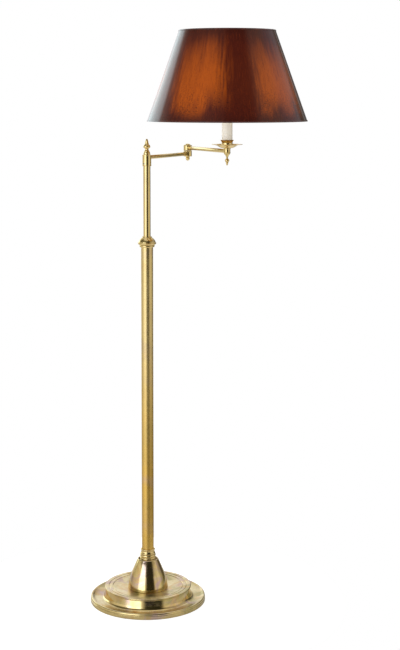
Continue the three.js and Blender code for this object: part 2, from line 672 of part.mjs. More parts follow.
function addShade(end) {
  // Carrier: clamped ring on the lampholder, four bowed wires and a ring under the shade's spider.
  const wire = 1.5;
  const carrierRadius = 48.5;
  const foot = section(HOLDER_RADIUS + 0.4, 26, CARRIER_SEAT, CARRIER_SEAT + 2.8);
  const upright = () =>
    wireAlong(
      [
        new THREE.Vector3(24.6, 0, CARRIER_SEAT + 1.4),
        new THREE.Vector3(34, 0, CARRIER_SEAT + 8),
        new THREE.Vector3(39, 0, 1330),
        new THREE.Vector3(44, 0, 1370),
        new THREE.Vector3(carrierRadius, 0, CARRIER_TOP),
      ],
      wire,
      10,
    );
  const uprights = Array.from({ length: 4 }, (_, i) => upright().rotateZ(((i + 0.5) * Math.PI) / 2));
  const topRing = turned(wireSection(carrierRadius, CARRIER_TOP, wire), MEDIUM);
  add(end, "shade_carrier", join(turned(foot, MEDIUM), ...uprights, topRing), brass);

  // Spider: flat ring on the carrier, three arms and the wire ring inside the shade's top edge.
  const spiderLevel = CARRIER_TOP + wire + GAP;
  const spiderRing = turned(section(46, 55, spiderLevel, spiderLevel + 1.6), MEDIUM);
  const rimRadius = SHADE_TOP_RADIUS - 4.2;
  const rimHeight = SHADE_TOP - 2.6;
  const rimRing = turned(wireSection(rimRadius, rimHeight, 1.6), LARGE);
  const spiderArms = Array.from({ length: SPIDER_ARMS }, (_, i) =>
    wireAlong(
      [
        new THREE.Vector3(53, 0, spiderLevel + 0.8),
        new THREE.Vector3(68, 0, spiderLevel + 3),
        new THREE.Vector3(100, 0, rimHeight - 7),
        new THREE.Vector3(rimRadius, 0, rimHeight),
      ],
      1.6,
      8,
    ).rotateZ((i / SPIDER_ARMS) * 2 * Math.PI),
  );
  add(end, "shade_spider", join(spiderRing, rimRing, ...spiderArms), brass);

  // The card cone's own slope gives the radius of each layer at any height.
  const slope = (SHADE_TOP_RADIUS - SHADE_BOTTOM_RADIUS) / (SHADE_TOP - SHADE_BOTTOM);
  const layer = (low, high, inset, thickness) => {
    const radius = (z) => SHADE_BOTTOM_RADIUS + slope * (z - SHADE_BOTTOM) - inset;
    return [
      new THREE.Vector2(radius(low) - thickness, low),
      new THREE.Vector2(radius(low), low),
      new THREE.Vector2(radius(high), high),
      new THREE.Vector2(radius(high) - thickness, high),
    ];
  };
  const skin = layer(SHADE_BOTTOM, SHADE_TOP, 0, SHADE_CARD);
  add(end, "shade_skin", turned(skin, LARGE), lacquer);
  const inner = layer(SHADE_BOTTOM, SHADE_TOP, SHADE_CARD + GAP, 0.5);
  add(end, "shade_lining", turned(inner, LARGE), lining);
  const trimWidth = 3.6;
  const trimOut = 0.8; // how far the binding stands proud of the card
  const topTrim = layer(SHADE_TOP - trimWidth, SHADE_TOP, -trimOut, trimOut - GAP);
  add(end, "shade_top_trim", turned(topTrim, LARGE), trim);
  const bottomTrim = layer(SHADE_BOTTOM, SHADE_BOTTOM + trimWidth, -trimOut, trimOut - GAP);
  add(end, "shade_bottom_trim", turned(bottomTrim, LARGE), trim);
  const bottomWire = wireSection(SHADE_BOTTOM_RADIUS - 5, SHADE_BOTTOM + 2.2, 1.6);
  add(end, "shade_bottom_ring", turned(bottomWire, LARGE), brass);
}

// ---------- assembly ----------

const stand = new THREE.Group();
const lockingCollar = new THREE.Group();
const riser = new THREE.Group();
const arm1 = new THREE.Group();
const arm2 = new THREE.Group();
const armEnd = new THREE.Group();

const fold = THREE.MathUtils.degToRad(ARM_FOLD);
lamp.add(stand, lockingCollar, riser);
riser.add(arm1);
arm1.rotation.z = fold;
arm1.add(arm2);
arm2.position.x = ARM_LENGTH;
arm2.rotation.z = -2 * fold;
arm2.add(armEnd);
armEnd.position.x = ARM_LENGTH;

addBase(stand);
addColumn(stand);
addLockingCollar(lockingCollar);
addRiser(riser);
addArm1(arm1);
addArm2(arm2);
addCandle(armEnd);

// The lampholder and the shade are set square to the lamp's own axes at rest.
const light = new THREE.Group();
light.rotation.z = fold;
armEnd.add(light);
addLampholder(light);
addSwitchKnob(light);
addShade(light);

export default lamp;
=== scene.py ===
"""Swing-arm floor lamp in aged brass with a lacquered shade: pieces, finishes and studio."""

import logging
import math
from collections.abc import Iterable, Sequence
from dataclasses import dataclass
from enum import Enum
from functools import cache

import bmesh
import bpy
from mathutils import Matrix, Vector


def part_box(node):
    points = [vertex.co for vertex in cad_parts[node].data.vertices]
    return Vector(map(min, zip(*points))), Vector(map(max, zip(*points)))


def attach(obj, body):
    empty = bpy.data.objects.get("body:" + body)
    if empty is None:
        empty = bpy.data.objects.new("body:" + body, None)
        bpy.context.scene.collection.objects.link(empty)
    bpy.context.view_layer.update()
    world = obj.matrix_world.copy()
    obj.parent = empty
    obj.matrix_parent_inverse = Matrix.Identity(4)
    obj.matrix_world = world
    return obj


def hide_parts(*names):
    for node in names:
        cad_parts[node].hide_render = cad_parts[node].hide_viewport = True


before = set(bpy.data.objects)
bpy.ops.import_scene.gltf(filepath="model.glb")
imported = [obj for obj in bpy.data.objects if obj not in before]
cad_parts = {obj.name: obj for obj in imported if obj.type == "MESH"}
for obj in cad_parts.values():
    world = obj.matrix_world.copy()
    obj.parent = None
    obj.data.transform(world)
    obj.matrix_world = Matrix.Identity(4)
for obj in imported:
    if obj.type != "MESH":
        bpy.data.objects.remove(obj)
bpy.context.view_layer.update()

MM = 0.001
WELD = 1e-6  # metres within which two vertices are one
ON_AXIS = 1e-5  # millimetres from the axis within which a point lies on it
FULL_TURN = 2 * math.pi
CREASE = math.radians(32)  # a sharper edge than this stays crisp

log = logging.getLogger("floor_lamp")

Colour = tuple[float, float, float]


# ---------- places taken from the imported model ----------


@dataclass(frozen=True)
class Seat:
    """Where a turned piece stands, in millimetres.

    Attributes:
        x: The axis's place along X.
        y: The axis's place along Y.
        bottom: Height of the piece's lowest point.
        top: Height of the piece's highest point.
        radius: Half of the piece's width along X.
    """

    x: float
    y: float
    bottom: float
    top: float
    radius: float

    @classmethod
    def of(cls, node: str) -> "Seat":
        """Read a node's seat from its box.

        Args:
            node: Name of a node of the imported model.

        Returns:
            The node's seat.
        """
        low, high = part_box(node)
        middle = (low + high) / 2
        return cls(
            middle.x / MM, middle.y / MM, low.z / MM, high.z / MM, (high.x - low.x) / 2 / MM
        )

    @property
    def height(self) -> float:
        """Distance from the lowest point to the highest."""
        return self.top - self.bottom

    @property
    def middle(self) -> float:
        """Height halfway up."""
        return (self.bottom + self.top) / 2


class Body(Enum):
    """The lamp's moving bodies."""

    STAND = "stand"
    COLLAR = "collar"
    RISER = "riser"
    FIRST_ARM = "first_arm"
    SECOND_ARM = "second_arm"
    SWITCH = "switch"


class Slot(Enum):
    """The record's finishes that a new piece can take."""

    BRASS = "aged_brass"
    STEEL = "plain_steel"
    FELT = "foot_felt"
    RUBBER = "grommet_rubber"
    NYLON = "guide_nylon"
    SLEEVE = "sleeve_card"
    PORCELAIN = "core_porcelain"
    PLASTIC = "switch_plastic"
    BULB = "bulb_envelope"
    LACQUER = "shade_lacquer"
    FOIL = "shade_foil"
    BINDING = "shade_binding"


# ---------- node trees ----------


class Graph:
    """A node tree with short calls that add nodes and join them."""

    def __init__(self, tree: bpy.types.NodeTree) -> None:
        """Keep the tree.

        Args:
            tree: The tree that the calls add to.
        """
        self.tree = tree

    def add(self, kind: str, **settings: object) -> bpy.types.Node:
        """Add a node.

        Args:
            kind: The node's type name without its "ShaderNode" prefix.
            **settings: The node's own properties.

        Returns:
            The new node.
        """
        node = self.tree.nodes.new("ShaderNode" + kind)
        for name, value in settings.items():
            setattr(node, name, value)
        return node

    def feed(self, socket: bpy.types.NodeSocket, source: object) -> None:
        """Give a socket a link or a constant.

        Args:
            socket: The input to feed.
            source: An output socket, a number, or a colour or vector.
        """
        if isinstance(source, bpy.types.NodeSocket):
            self.tree.links.new(source, socket)
        elif socket.type == "RGBA" and len(source) == 3:
            socket.default_value = (*source, 1.0)
        else:
            socket.default_value = source

    def noise(
        self,
        vector: object,
        scale: float,
        detail: float = 4.0,
        roughness: float = 0.55,
        distortion: float = 0.0,
    ) -> bpy.types.NodeSocket:
        """Add a noise texture.

        Args:
            vector: Where the noise is read.
            scale: Number of features in a unit of the vector.
            detail: Number of finer layers.
            roughness: Weight of the finer layers.
            distortion: How far the pattern is bent.

        Returns:
            The noise, about 0 to 1.
        """
        node = self.add("TexNoise")
        self.feed(node.inputs["Vector"], vector)
        self.feed(node.inputs["Scale"], scale)
        self.feed(node.inputs["Detail"], detail)
        self.feed(node.inputs["Roughness"], roughness)
        self.feed(node.inputs["Distortion"], distortion)
        return node.outputs[0]

    def spread(
        self, value: object, low: float, high: float, start: float = 0.0, end: float = 1.0
    ) -> bpy.types.NodeSocket:
        """Map the stretch from low to high smoothly onto start to end.

        Args:
            value: The number to map.
            low: Value that gives start.
            high: Value that gives end.
            start: Result at low.
            end: Result at high.

        Returns:
            The mapped number.
        """
        node = self.add("MapRange", interpolation_type="SMOOTHSTEP")
        for socket, source in zip(node.inputs, (value, low, high, start, end)):
            self.feed(socket, source)
        return node.outputs[0]

    def math(self, operation: str, a: object, b: object = 0.0) -> bpy.types.NodeSocket:
        """Add a Math node.

        Args:
            operation: The node's operation.
            a: First number.
            b: Second number, where the operation has one.

        Returns:
            The result.
        """
        node = self.add("Math", operation=operation)
        self.feed(node.inputs[0], a)
        self.feed(node.inputs[1], b)
        return node.outputs[0]

    def vector(self, operation: str, a: object, b: object = (0, 0, 0)) -> bpy.types.NodeSocket:
        """Add a Vector Math node.

        Args:
            operation: The node's operation.
            a: First vector.
            b: Second vector, where the operation has one.

        Returns:
            The resulting vector.
        """
        node = self.add("VectorMath", operation=operation)
        self.feed(node.inputs[0], a)
        self.feed(node.inputs[1], b)
        return node.outputs[0]

    def mix(self, amount: object, a: object, b: object) -> bpy.types.NodeSocket:
        """Mix two colours.

        Args:
            amount: Share of the second colour.
            a: First colour.
            b: Second colour.

        Returns:
            The mixed colour.
        """
        node = self.add("Mix", data_type="RGBA")
        # The node's sockets for colours come after those for numbers and vectors.
        self.feed(node.inputs[0], amount)
        self.feed(node.inputs[6], a)
        self.feed(node.inputs[7], b)
        return node.outputs[2]

    def bump(self, height: object, depth: float, strength: float = 1.0) -> bpy.types.NodeSocket:
        """Add a Bump node.

        Args:
            height: Height of the relief, 0 to 1.
            depth: Relief in metres from 0 to 1.
            strength: Share of the relief that is used.

        Returns:
            The bent normal.
        """
        node = self.add("Bump")
        self.feed(node.inputs["Strength"], strength)
        self.feed(node.inputs["Distance"], depth)
        self.feed(node.inputs["Height"], height)
        return node.outputs[0]

    def group(self, shared: bpy.types.NodeTree, **inputs: object) -> bpy.types.Node:
        """Place a shared effect.

        Args:
            shared: The effect's node group.
            **inputs: What feeds its inputs, by name.

        Returns:
            The group's node.
        """
        node = self.add("Group", node_tree=shared)
        for name, source in inputs.items():
            self.feed(node.inputs[name], source)
        return node


def shared_effect(
    name: str, inputs: dict[str, str], outputs: dict[str, str]
) -> tuple[bpy.types.NodeTree, Graph, bpy.types.Node, bpy.types.Node]:
    """Start a node group with named sockets.

    Args:
        name: The group's name.
        inputs: Socket kinds by name, such as "Float".
        outputs: Socket kinds by name.

    Returns:
        The group, its graph, its input node and its output node.
    """
    tree = bpy.data.node_groups.new(name, "ShaderNodeTree")
    for way, sockets in (("INPUT", inputs), ("OUTPUT", outputs)):
        for label, kind in sockets.items():
            tree.interface.new_socket(name=label, in_out=way, socket_type="NodeSocket" + kind)
    entry = tree.nodes.new("NodeGroupInput")
    leave = tree.nodes.new("NodeGroupOutput")
    return tree, Graph(tree), entry, leave


@cache
def tarnish() -> bpy.types.NodeTree:
    """Make the patches that air and polishing leave on brass.

    Returns:
        A group with masks for olive, violet and amber patches and for fine mottling.
    """
    tree, graph, entry, leave = shared_effect(
        "tarnish",
        {"Vector": "Vector", "Scale": "Float"},
        {"Olive": "Float", "Violet": "Float", "Amber": "Float", "Mottle": "Float"},
    )
    place, scale = entry.outputs["Vector"], entry.outputs["Scale"]
    olive = graph.noise(place, scale, 5.0, 0.6, 0.8)
    graph.feed(leave.inputs["Olive"], graph.spread(olive, 0.46, 0.66))
    shifted = graph.vector("ADD", place, (3.1, 1.7, 5.3))
    violet = graph.noise(shifted, scale, 4.0, 0.62, 1.2)
    graph.feed(leave.inputs["Violet"], graph.spread(violet, 0.49, 0.66))
    turned = graph.vector("ADD", place, (7.9, 4.3, 2.6))
    amber = graph.noise(turned, graph.math("MULTIPLY", scale, 1.6), 5.0, 0.6, 0.9)
    graph.feed(leave.inputs["Amber"], graph.spread(amber, 0.49, 0.66))
    fine = graph.noise(place, graph.math("MULTIPLY", scale, 9.0), 6.0, 0.65)
    graph.feed(leave.inputs["Mottle"], graph.spread(fine, 0.3, 0.72))
    return tree


@cache
def polish_lines() -> bpy.types.NodeTree:
    """Make the fine lines that polishing leaves on a turned or drawn piece.

    Returns:
        A group with the lines as a mask, stretched by a vector of scales.
    """
    tree, graph, entry, leave = shared_effect(
        "polish_lines", {"Vector": "Vector", "Stretch": "Vector"}, {"Lines": "Float"}
    )
    stretched = graph.vector("MULTIPLY", entry.outputs["Vector"], entry.outputs["Stretch"])
    lines = graph.noise(stretched, 1.0, 3.0, 0.7)
    graph.feed(leave.inputs["Lines"], graph.spread(lines, 0.3, 0.7))
    return tree


@cache
def lengthwise_streaks() -> bpy.types.NodeTree:
    """Make upright streaks round the Z axis, with no seam.

    Returns:
        A group with the streaks as a mask; Around and Along set their spacing and length.
    """
    tree, graph, entry, leave = shared_effect(
        "lengthwise_streaks",
        {"Vector": "Vector", "Around": "Float", "Along": "Float", "Detail": "Float"},
        {"Streaks": "Float"},
    )
    place = entry.outputs["Vector"]
    flat = graph.vector("MULTIPLY", place, (1, 1, 0))
    round_the_axis = graph.add("VectorMath", operation="SCALE")
    graph.feed(round_the_axis.inputs[0], graph.vector("NORMALIZE", flat))
    graph.feed(round_the_axis.inputs["Scale"], entry.outputs["Around"])
    up = graph.add("VectorMath", operation="SCALE")
    graph.feed(up.inputs[0], graph.vector("MULTIPLY", place, (0, 0, 1)))
    graph.feed(up.inputs["Scale"], entry.outputs["Along"])
    where = graph.vector("ADD", round_the_axis.outputs[0], up.outputs[0])
    streaks = graph.noise(where, 1.0, entry.outputs["Detail"], 0.6, 0.15)
    graph.feed(leave.inputs["Streaks"], streaks)
    return tree


# ---------- finishes ----------


@dataclass(frozen=True)
class Finish:
    """A surface finish.

    Attributes:
        name: The material's name.
        centre: Point in metres on which the pattern is centred.
    """

    name: str
    centre: tuple[float, float, float] = (0.0, 0.0, 0.0)

    @cache
    def material(self) -> bpy.types.Material:
        """Make the finish's material, once.

        Returns:
            The material.
        """
        material = bpy.data.materials.new(self.name)
        material.use_nodes = True
        graph = Graph(material.node_tree)
        shader = material.node_tree.nodes["Principled BSDF"]
        self.paint(graph, shader, self.place(graph))
        return material

    def place(self, graph: Graph) -> bpy.types.NodeSocket:
        """Add the object's own coordinates, centred.

        Args:
            graph: The material's graph.

        Returns:
            The coordinates.
        """
        mapping = graph.add("Mapping")
        graph.feed(mapping.inputs["Vector"], graph.add("TexCoord").outputs["Object"])
        mapping.inputs["Location"].default_value = [-c for c in self.centre]
        return mapping.outputs[0]

    def paint(
        self, graph: Graph, shader: bpy.types.Node, place: bpy.types.NodeSocket
    ) -> None:
        """Dress the shader. Each finish has its own way.

        Args:
            graph: The material's graph.
            shader: Its Principled BSDF.
            place: The centred coordinates.
        """
        raise NotImplementedError


@dataclass(frozen=True)
class AgedBrass(Finish):
    """Polished antique brass with olive, amber and violet patches; grime and painted shade in
    recesses.

    Attributes:
        colour: Clean metal.
        patch_scale: Number of tarnish patches in a metre.
        patina: Share of the tarnish that shows, 0 to 1.
        roughness: Roughness of the clean metal.
        stretch: Scales of the polishing lines along X, Y and Z.
        line_depth: Depth of the polishing lines in metres.
        deep: Darker, deeper metal towards the bottom.
        deep_below: Heights in metres at which that starts to show and is full.
        dulled: Roughness that faces looking upward gain from dust and wiping.
        dust_and_sheen: Paler metal of those faces, from dust and from a painted sheen.
        upward: Heights of a unit normal at which that starts to show and is full.
        olive: Tone of the olive patches.
        amber: Tone of the amber patches.
        violet: Tone of the violet patches.
        mottle: Tone of the fine mottling.
        grime_and_shade: Tone of the recesses, grime and painted shade together.
        rubbed: Tone of the edges that polishing has rubbed bright.
        hollow: Pointiness at which a recess starts to show and is full.
        ridge: Pointiness at which an edge starts to show and is full.
    """

    colour: Colour = (0.83, 0.63, 0.28)
    patch_scale: float = 16.0
    patina: float = 0.5
    roughness: float = 0.17
    stretch: tuple[float, float, float] = (30.0, 30.0, 2600.0)
    line_depth: float = 0.0000015
    deep: Colour = (0.77, 0.48, 0.11)
    deep_below: tuple[float, float] = (-1.0, -1.0)
    dulled: float = 0.0
    dust_and_sheen: Colour = (0.84, 0.73, 0.46)
    upward: tuple[float, float] = (0.75, 0.97)
    olive: Colour = (0.42, 0.37, 0.15)
    amber: Colour = (0.70, 0.43, 0.16)
    violet: Colour = (0.58, 0.41, 0.42)
    mottle: Colour = (0.58, 0.41, 0.17)
    grime_and_shade: Colour = (0.07, 0.045, 0.018)
    rubbed: Colour = (0.92, 0.76, 0.44)
    hollow: tuple[float, float] = (0.492, 0.455)
    ridge: tuple[float, float] = (0.515, 0.56)

    def paint(
        self, graph: Graph, shader: bpy.types.Node, place: bpy.types.NodeSocket
    ) -> None:
        """Mix the tarnish, the recesses' grime and painted shade, and the polishing lines.

        Args:
            graph: The material's graph.
            shader: Its Principled BSDF.
            place: The centred coordinates.
        """
        spots = graph.group(tarnish(), Vector=place, Scale=self.patch_scale).outputs
        lines = graph.group(polish_lines(), Vector=place, Stretch=self.stretch).outputs[0]
        metal = self.colour
        if self.deep_below[0] != self.deep_below[1]:
            separate = graph.add("SeparateXYZ")
            graph.feed(separate.inputs[0], place)
            depth = graph.spread(separate.outputs["Z"], *self.deep_below)
            metal = graph.mix(depth, self.colour, self.deep)
        # Faces looking upward are made paler, dust together with a painted sheen, and rougher from
        # dust.
        if self.dulled:
            normal = graph.add("SeparateXYZ")
            graph.feed(normal.inputs[0], graph.add("NewGeometry").outputs["Normal"])
            upward = graph.spread(normal.outputs["Z"], *self.upward)
            metal = graph.mix(upward, metal, self.dust_and_sheen)
        colour = metal
        for spot, share, tone in (
            ("Olive", 1.0, self.olive),
            ("Amber", 0.7, self.amber),
            ("Violet", 0.9, self.violet),
            ("Mottle", 0.25, self.mottle),
        ):
            amount = graph.math("MULTIPLY", spots[spot], share * self.patina)
            colour = graph.mix(amount, colour, tone)
        # Recesses, found by pointiness, are darkened: painted shade together with grime, which also
        # roughens them.
        curve = graph.add("NewGeometry").outputs["Pointiness"]
        recess = graph.spread(curve, *self.hollow, 0.0, 0.85)
        colour = graph.mix(recess, colour, self.grime_and_shade)
        worn = graph.spread(curve, *self.ridge, 0.0, 0.35)
        colour = graph.mix(worn, colour, self.rubbed)
        graph.feed(shader.inputs["Base Color"], colour)
        roughest = self.roughness + 0.06
        rough = graph.spread(spots["Mottle"], 0.0, 1.0, self.roughness, roughest)
        rough = graph.math("ADD", rough, graph.math("MULTIPLY", recess, 0.3))
        rough = graph.math("ADD", rough, graph.math("MULTIPLY", lines, 0.05))
        if self.dulled:
            rough = graph.math("ADD", rough, graph.math("MULTIPLY", upward, self.dulled))
        graph.feed(shader.inputs["Roughness"], rough)
        graph.feed(shader.inputs["Normal"], graph.bump(lines, self.line_depth))
        shader.inputs["Metallic"].default_value = 1.0


@dataclass(frozen=True)
class ShadeLacquer(Finish):
    """Dark red-brown lacquer over gold, brushed upright; its amber middle holds painted highlights.

    Attributes:
        height: Height of the shade in metres; the pattern is centred at its middle.
        columns: Number of dark columns round the shade, painted reflections of a dark gap.
        dark_reflection_bearing: Bearing in degrees of one of them, 0 towards -Y.
        ground: Red-brown where the amber fades, as in the painted dark reflections of the columns.
        glow: Amber of the middle band, brightest as painted highlights between the columns.
        rim: Tone along both edges.
        ember: Tone of the bright hairs.
        soot: Tone of the dark hairs.
        fleck: Tone of the flecks low on the shade.
    """

    height: float = 0.227
    columns: int = 5
    dark_reflection_bearing: float = 11.0
    ground: Colour = (0.065, 0.007, 0.003)
    glow: Colour = (0.40, 0.072, 0.003)
    rim: Colour = (0.045, 0.006, 0.003)
    ember: Colour = (0.28, 0.042, 0.004)
    soot: Colour = (0.08, 0.010, 0.004)
    fleck: Colour = (0.035, 0.006, 0.004)

    def paint(
        self, graph: Graph, shader: bpy.types.Node, place: bpy.types.NodeSocket
    ) -> None:
        """Layer amber, red-brown and near-black by height, by bearing and by streaks.

        Args:
            graph: The material's graph.
            shader: Its Principled BSDF.
            place: The centred coordinates.
        """
        separate = graph.add("SeparateXYZ")
        graph.feed(separate.inputs[0], place)
        x, y, z = separate.outputs
        broad = self.streaks(graph, place, 2.2, 5.0, 3.0)
        brush = self.streaks(graph, place, 24.0, 14.0, 5.0)
        hairs = self.streaks(graph, place, 120.0, 60.0, 4.0)
        specks = graph.noise(place, 420.0, 3.0, 0.7)
        # Height above the middle as a share of the shade's height.
        level = graph.math("MULTIPLY", z, 1 / self.height)
        # The same height, blurred by the brush.
        wander = graph.math("ADD", graph.spread(brush, 0.25, 0.75, -0.06, 0.06), level)
        wander = graph.math("ADD", graph.spread(broad, 0.3, 0.7, -0.11, 0.11), wander)
        glow = graph.math(
            "MULTIPLY", graph.spread(wander, 0.52, -0.10), graph.spread(wander, -0.52, -0.20)
        )
        # The dark columns are painted reflections of a dark gap between softboxes.
        columns = self.painted_reflection_columns(graph, x, y, brush)
        # The amber band is the lacquer's own; the amber between the columns is painted highlight.
        glow = graph.math("MULTIPLY", glow, graph.spread(columns, -0.35, 0.92, 1.0, 0.05))
        colour = graph.mix(glow, self.ground, self.glow)
        rim = graph.math("ADD", graph.spread(level, 0.28, 0.52), graph.spread(level, -0.38, -0.52))
        colour = graph.mix(rim, colour, self.rim)
        embers = graph.math("MULTIPLY", graph.spread(hairs, 0.5, 0.75), 0.3)
        colour = graph.mix(embers, colour, self.ember)
        dark_hairs = graph.math("MULTIPLY", graph.spread(hairs, 0.48, 0.3), 0.5)
        colour = graph.mix(dark_hairs, colour, self.soot)
        low = graph.spread(level, -0.06, -0.40)
        flecks = graph.math(
            "MULTIPLY", graph.spread(specks, 0.5, 0.64), graph.spread(brush, 0.35, 0.6)
        )
        flecks = graph.math("MULTIPLY", flecks, graph.math("ADD", 0.30, low))
        colour = graph.mix(flecks, colour, self.fleck)
        graph.feed(shader.inputs["Base Color"], colour)
        graph.feed(shader.inputs["Metallic"], graph.spread(glow, 0.0, 1.0, 0.25, 0.4))
        graph.feed(shader.inputs["Roughness"], graph.spread(hairs, 0.3, 0.7, 0.30, 0.38))
        graph.feed(shader.inputs["Normal"], graph.bump(hairs, 0.00001))
        shader.inputs["Specular IOR Level"].default_value = 0.1
        shader.inputs["Coat Weight"].default_value = 1.0
        shader.inputs["Coat Roughness"].default_value = 0.05
        shader.inputs["Coat IOR"].default_value = 1.45

    def painted_reflection_columns(
        self,
        graph: Graph,
        x: bpy.types.NodeSocket,
        y: bpy.types.NodeSocket,
        brush: bpy.types.NodeSocket,
    ) -> bpy.types.NodeSocket:
        """Add a wave round the shade that peaks on each dark column, a painted reflection of a dark
        gap.

        Args:
            graph: The material's graph.
            x: Place along X from the shade's axis.
            y: Place along Y from the shade's axis.
            brush: Streaks that make the columns' sides ragged.

        Returns:
            The wave, -1 to 1.
        """
        bearing = graph.math("ARCTAN2", x, graph.math("MULTIPLY", y, -1.0))
        bearing = graph.math("ADD", bearing, graph.spread(brush, 0.3, 0.7, -0.07, 0.07))
        bearing = graph.math("ADD", bearing, -math.radians(self.dark_reflection_bearing))
        return graph.math("COSINE", graph.math("MULTIPLY", bearing, self.columns))

    def streaks(
        self, graph: Graph, place: object, around: float, along: float, detail: float
    ) -> bpy.types.NodeSocket:
        """Place the streaks group.

        Args:
            graph: The material's graph.
            place: The centred coordinates.
            around: Streaks in a radian round the shade.
            along: Streaks in a metre of height.
            detail: Number of finer layers.

        Returns:
            The streaks.
        """
        effect = graph.group(
            lengthwise_streaks(), Vector=place, Around=around, Along=along, Detail=detail
        )
        return effect.outputs["Streaks"]


@dataclass(frozen=True)
class Grained(Finish):
    """A plain stuff with two close shades, some grain and some relief.

    Attributes:
        light: Lighter shade.
        dark: Darker shade.
        scale: Number of grains in a metre.
        roughness: Roughness of the light shade.
        rough_spread: What the dark shade adds to it.
        metallic: 1 for a metal.
        relief: Depth of the grain in metres.
        coat: Weight of a clear coat.
        sheen: Weight of the fuzz on cloth.
    """

    light: Colour = (0.8, 0.8, 0.8)
    dark: Colour = (0.6, 0.6, 0.6)
    scale: float = 300.0
    roughness: float = 0.5
    rough_spread: float = 0.1
    metallic: float = 0.0
    relief: float = 0.00002
    coat: float = 0.0
    sheen: float = 0.0

    def paint(
        self, graph: Graph, shader: bpy.types.Node, place: bpy.types.NodeSocket
    ) -> None:
        """Mix the two shades by a broad and a fine noise.

        Args:
            graph: The material's graph.
            shader: Its Principled BSDF.
            place: The centred coordinates.
        """
        grain = graph.noise(place, self.scale, 5.0, 0.65)
        broad = graph.noise(place, self.scale / 12, 3.0, 0.5)
        both = graph.math(
            "ADD", graph.math("MULTIPLY", grain, 0.6), graph.math("MULTIPLY", broad, 0.4)
        )
        mask = graph.spread(both, 0.36, 0.64)
        graph.feed(shader.inputs["Base Color"], graph.mix(mask, self.light, self.dark))
        end = self.roughness + self.rough_spread
        graph.feed(shader.inputs["Roughness"], graph.spread(mask, 0.0, 1.0, self.roughness, end))
        graph.feed(shader.inputs["Normal"], graph.bump(grain, self.relief))
        shader.inputs["Metallic"].default_value = self.metallic
        shader.inputs["Coat Weight"].default_value = self.coat
        shader.inputs["Sheen Weight"].default_value = self.sheen


@dataclass(frozen=True)
class SleeveCard(Finish):
    """Cream card tube with faint upright shading and a satin wax.

    Attributes:
        cream: Card where the wax is clean.
        shaded: Card in the streaks.
        freckle: Tone of the paper's freckles.
    """

    cream: Colour = (0.96, 0.935, 0.87)
    shaded: Colour = (0.90, 0.865, 0.78)
    freckle: Colour = (0.82, 0.77, 0.66)

    def paint(
        self, graph: Graph, shader: bpy.types.Node, place: bpy.types.NodeSocket
    ) -> None:
        """Shade the cream by upright streaks and fine paper grain.

        Args:
            graph: The material's graph.
            shader: Its Principled BSDF.
            place: The centred coordinates.
        """
        effect = graph.group(
            lengthwise_streaks(), Vector=place, Around=9.0, Along=9.0, Detail=3.0
        )
        streaks = effect.outputs["Streaks"]
        grain = graph.noise(place, 900.0, 4.0, 0.6)
        colour = graph.mix(graph.spread(streaks, 0.3, 0.7), self.cream, self.shaded)
        freckles = graph.math("MULTIPLY", graph.spread(grain, 0.5, 0.8), 0.15)
        colour = graph.mix(freckles, colour, self.freckle)
        graph.feed(shader.inputs["Base Color"], colour)
        graph.feed(shader.inputs["Roughness"], graph.spread(grain, 0.3, 0.7, 0.34, 0.46))
        graph.feed(shader.inputs["Normal"], graph.bump(grain, 0.00001))
        shader.inputs["Coat Weight"].default_value = 0.15


@dataclass(frozen=True)
class GoldFoil(Finish):
    """Satin gold foil paper with a fine crinkle, as glued inside a shade.

    Attributes:
        bright: Gold on top of the crinkle.
        deep: Gold in its hollows.
        faded: Gold in the upright rolling marks.
    """

    bright: Colour = (0.80, 0.60, 0.27)
    deep: Colour = (0.62, 0.43, 0.16)
    faded: Colour = (0.50, 0.34, 0.13)

    def paint(
        self, graph: Graph, shader: bpy.types.Node, place: bpy.types.NodeSocket
    ) -> None:
        """Mix the golds by a crinkle and by upright rolling marks.

        Args:
            graph: The material's graph.
            shader: Its Principled BSDF.
            place: The centred coordinates.
        """
        crinkle = graph.noise(place, 160.0, 5.0, 0.6, 0.4)
        effect = graph.group(
            lengthwise_streaks(), Vector=place, Around=12.0, Along=5.0, Detail=3.0
        )
        colour = graph.mix(graph.spread(crinkle, 0.35, 0.65), self.bright, self.deep)
        marks = graph.math("MULTIPLY", graph.spread(effect.outputs[0], 0.4, 0.7), 0.4)
        colour = graph.mix(marks, colour, self.faded)
        graph.feed(shader.inputs["Base Color"], colour)
        graph.feed(shader.inputs["Roughness"], graph.spread(crinkle, 0.3, 0.7, 0.36, 0.5))
        graph.feed(shader.inputs["Normal"], graph.bump(crinkle, 0.00006))
        shader.inputs["Metallic"].default_value = 0.75


# ---------- modelling ----------


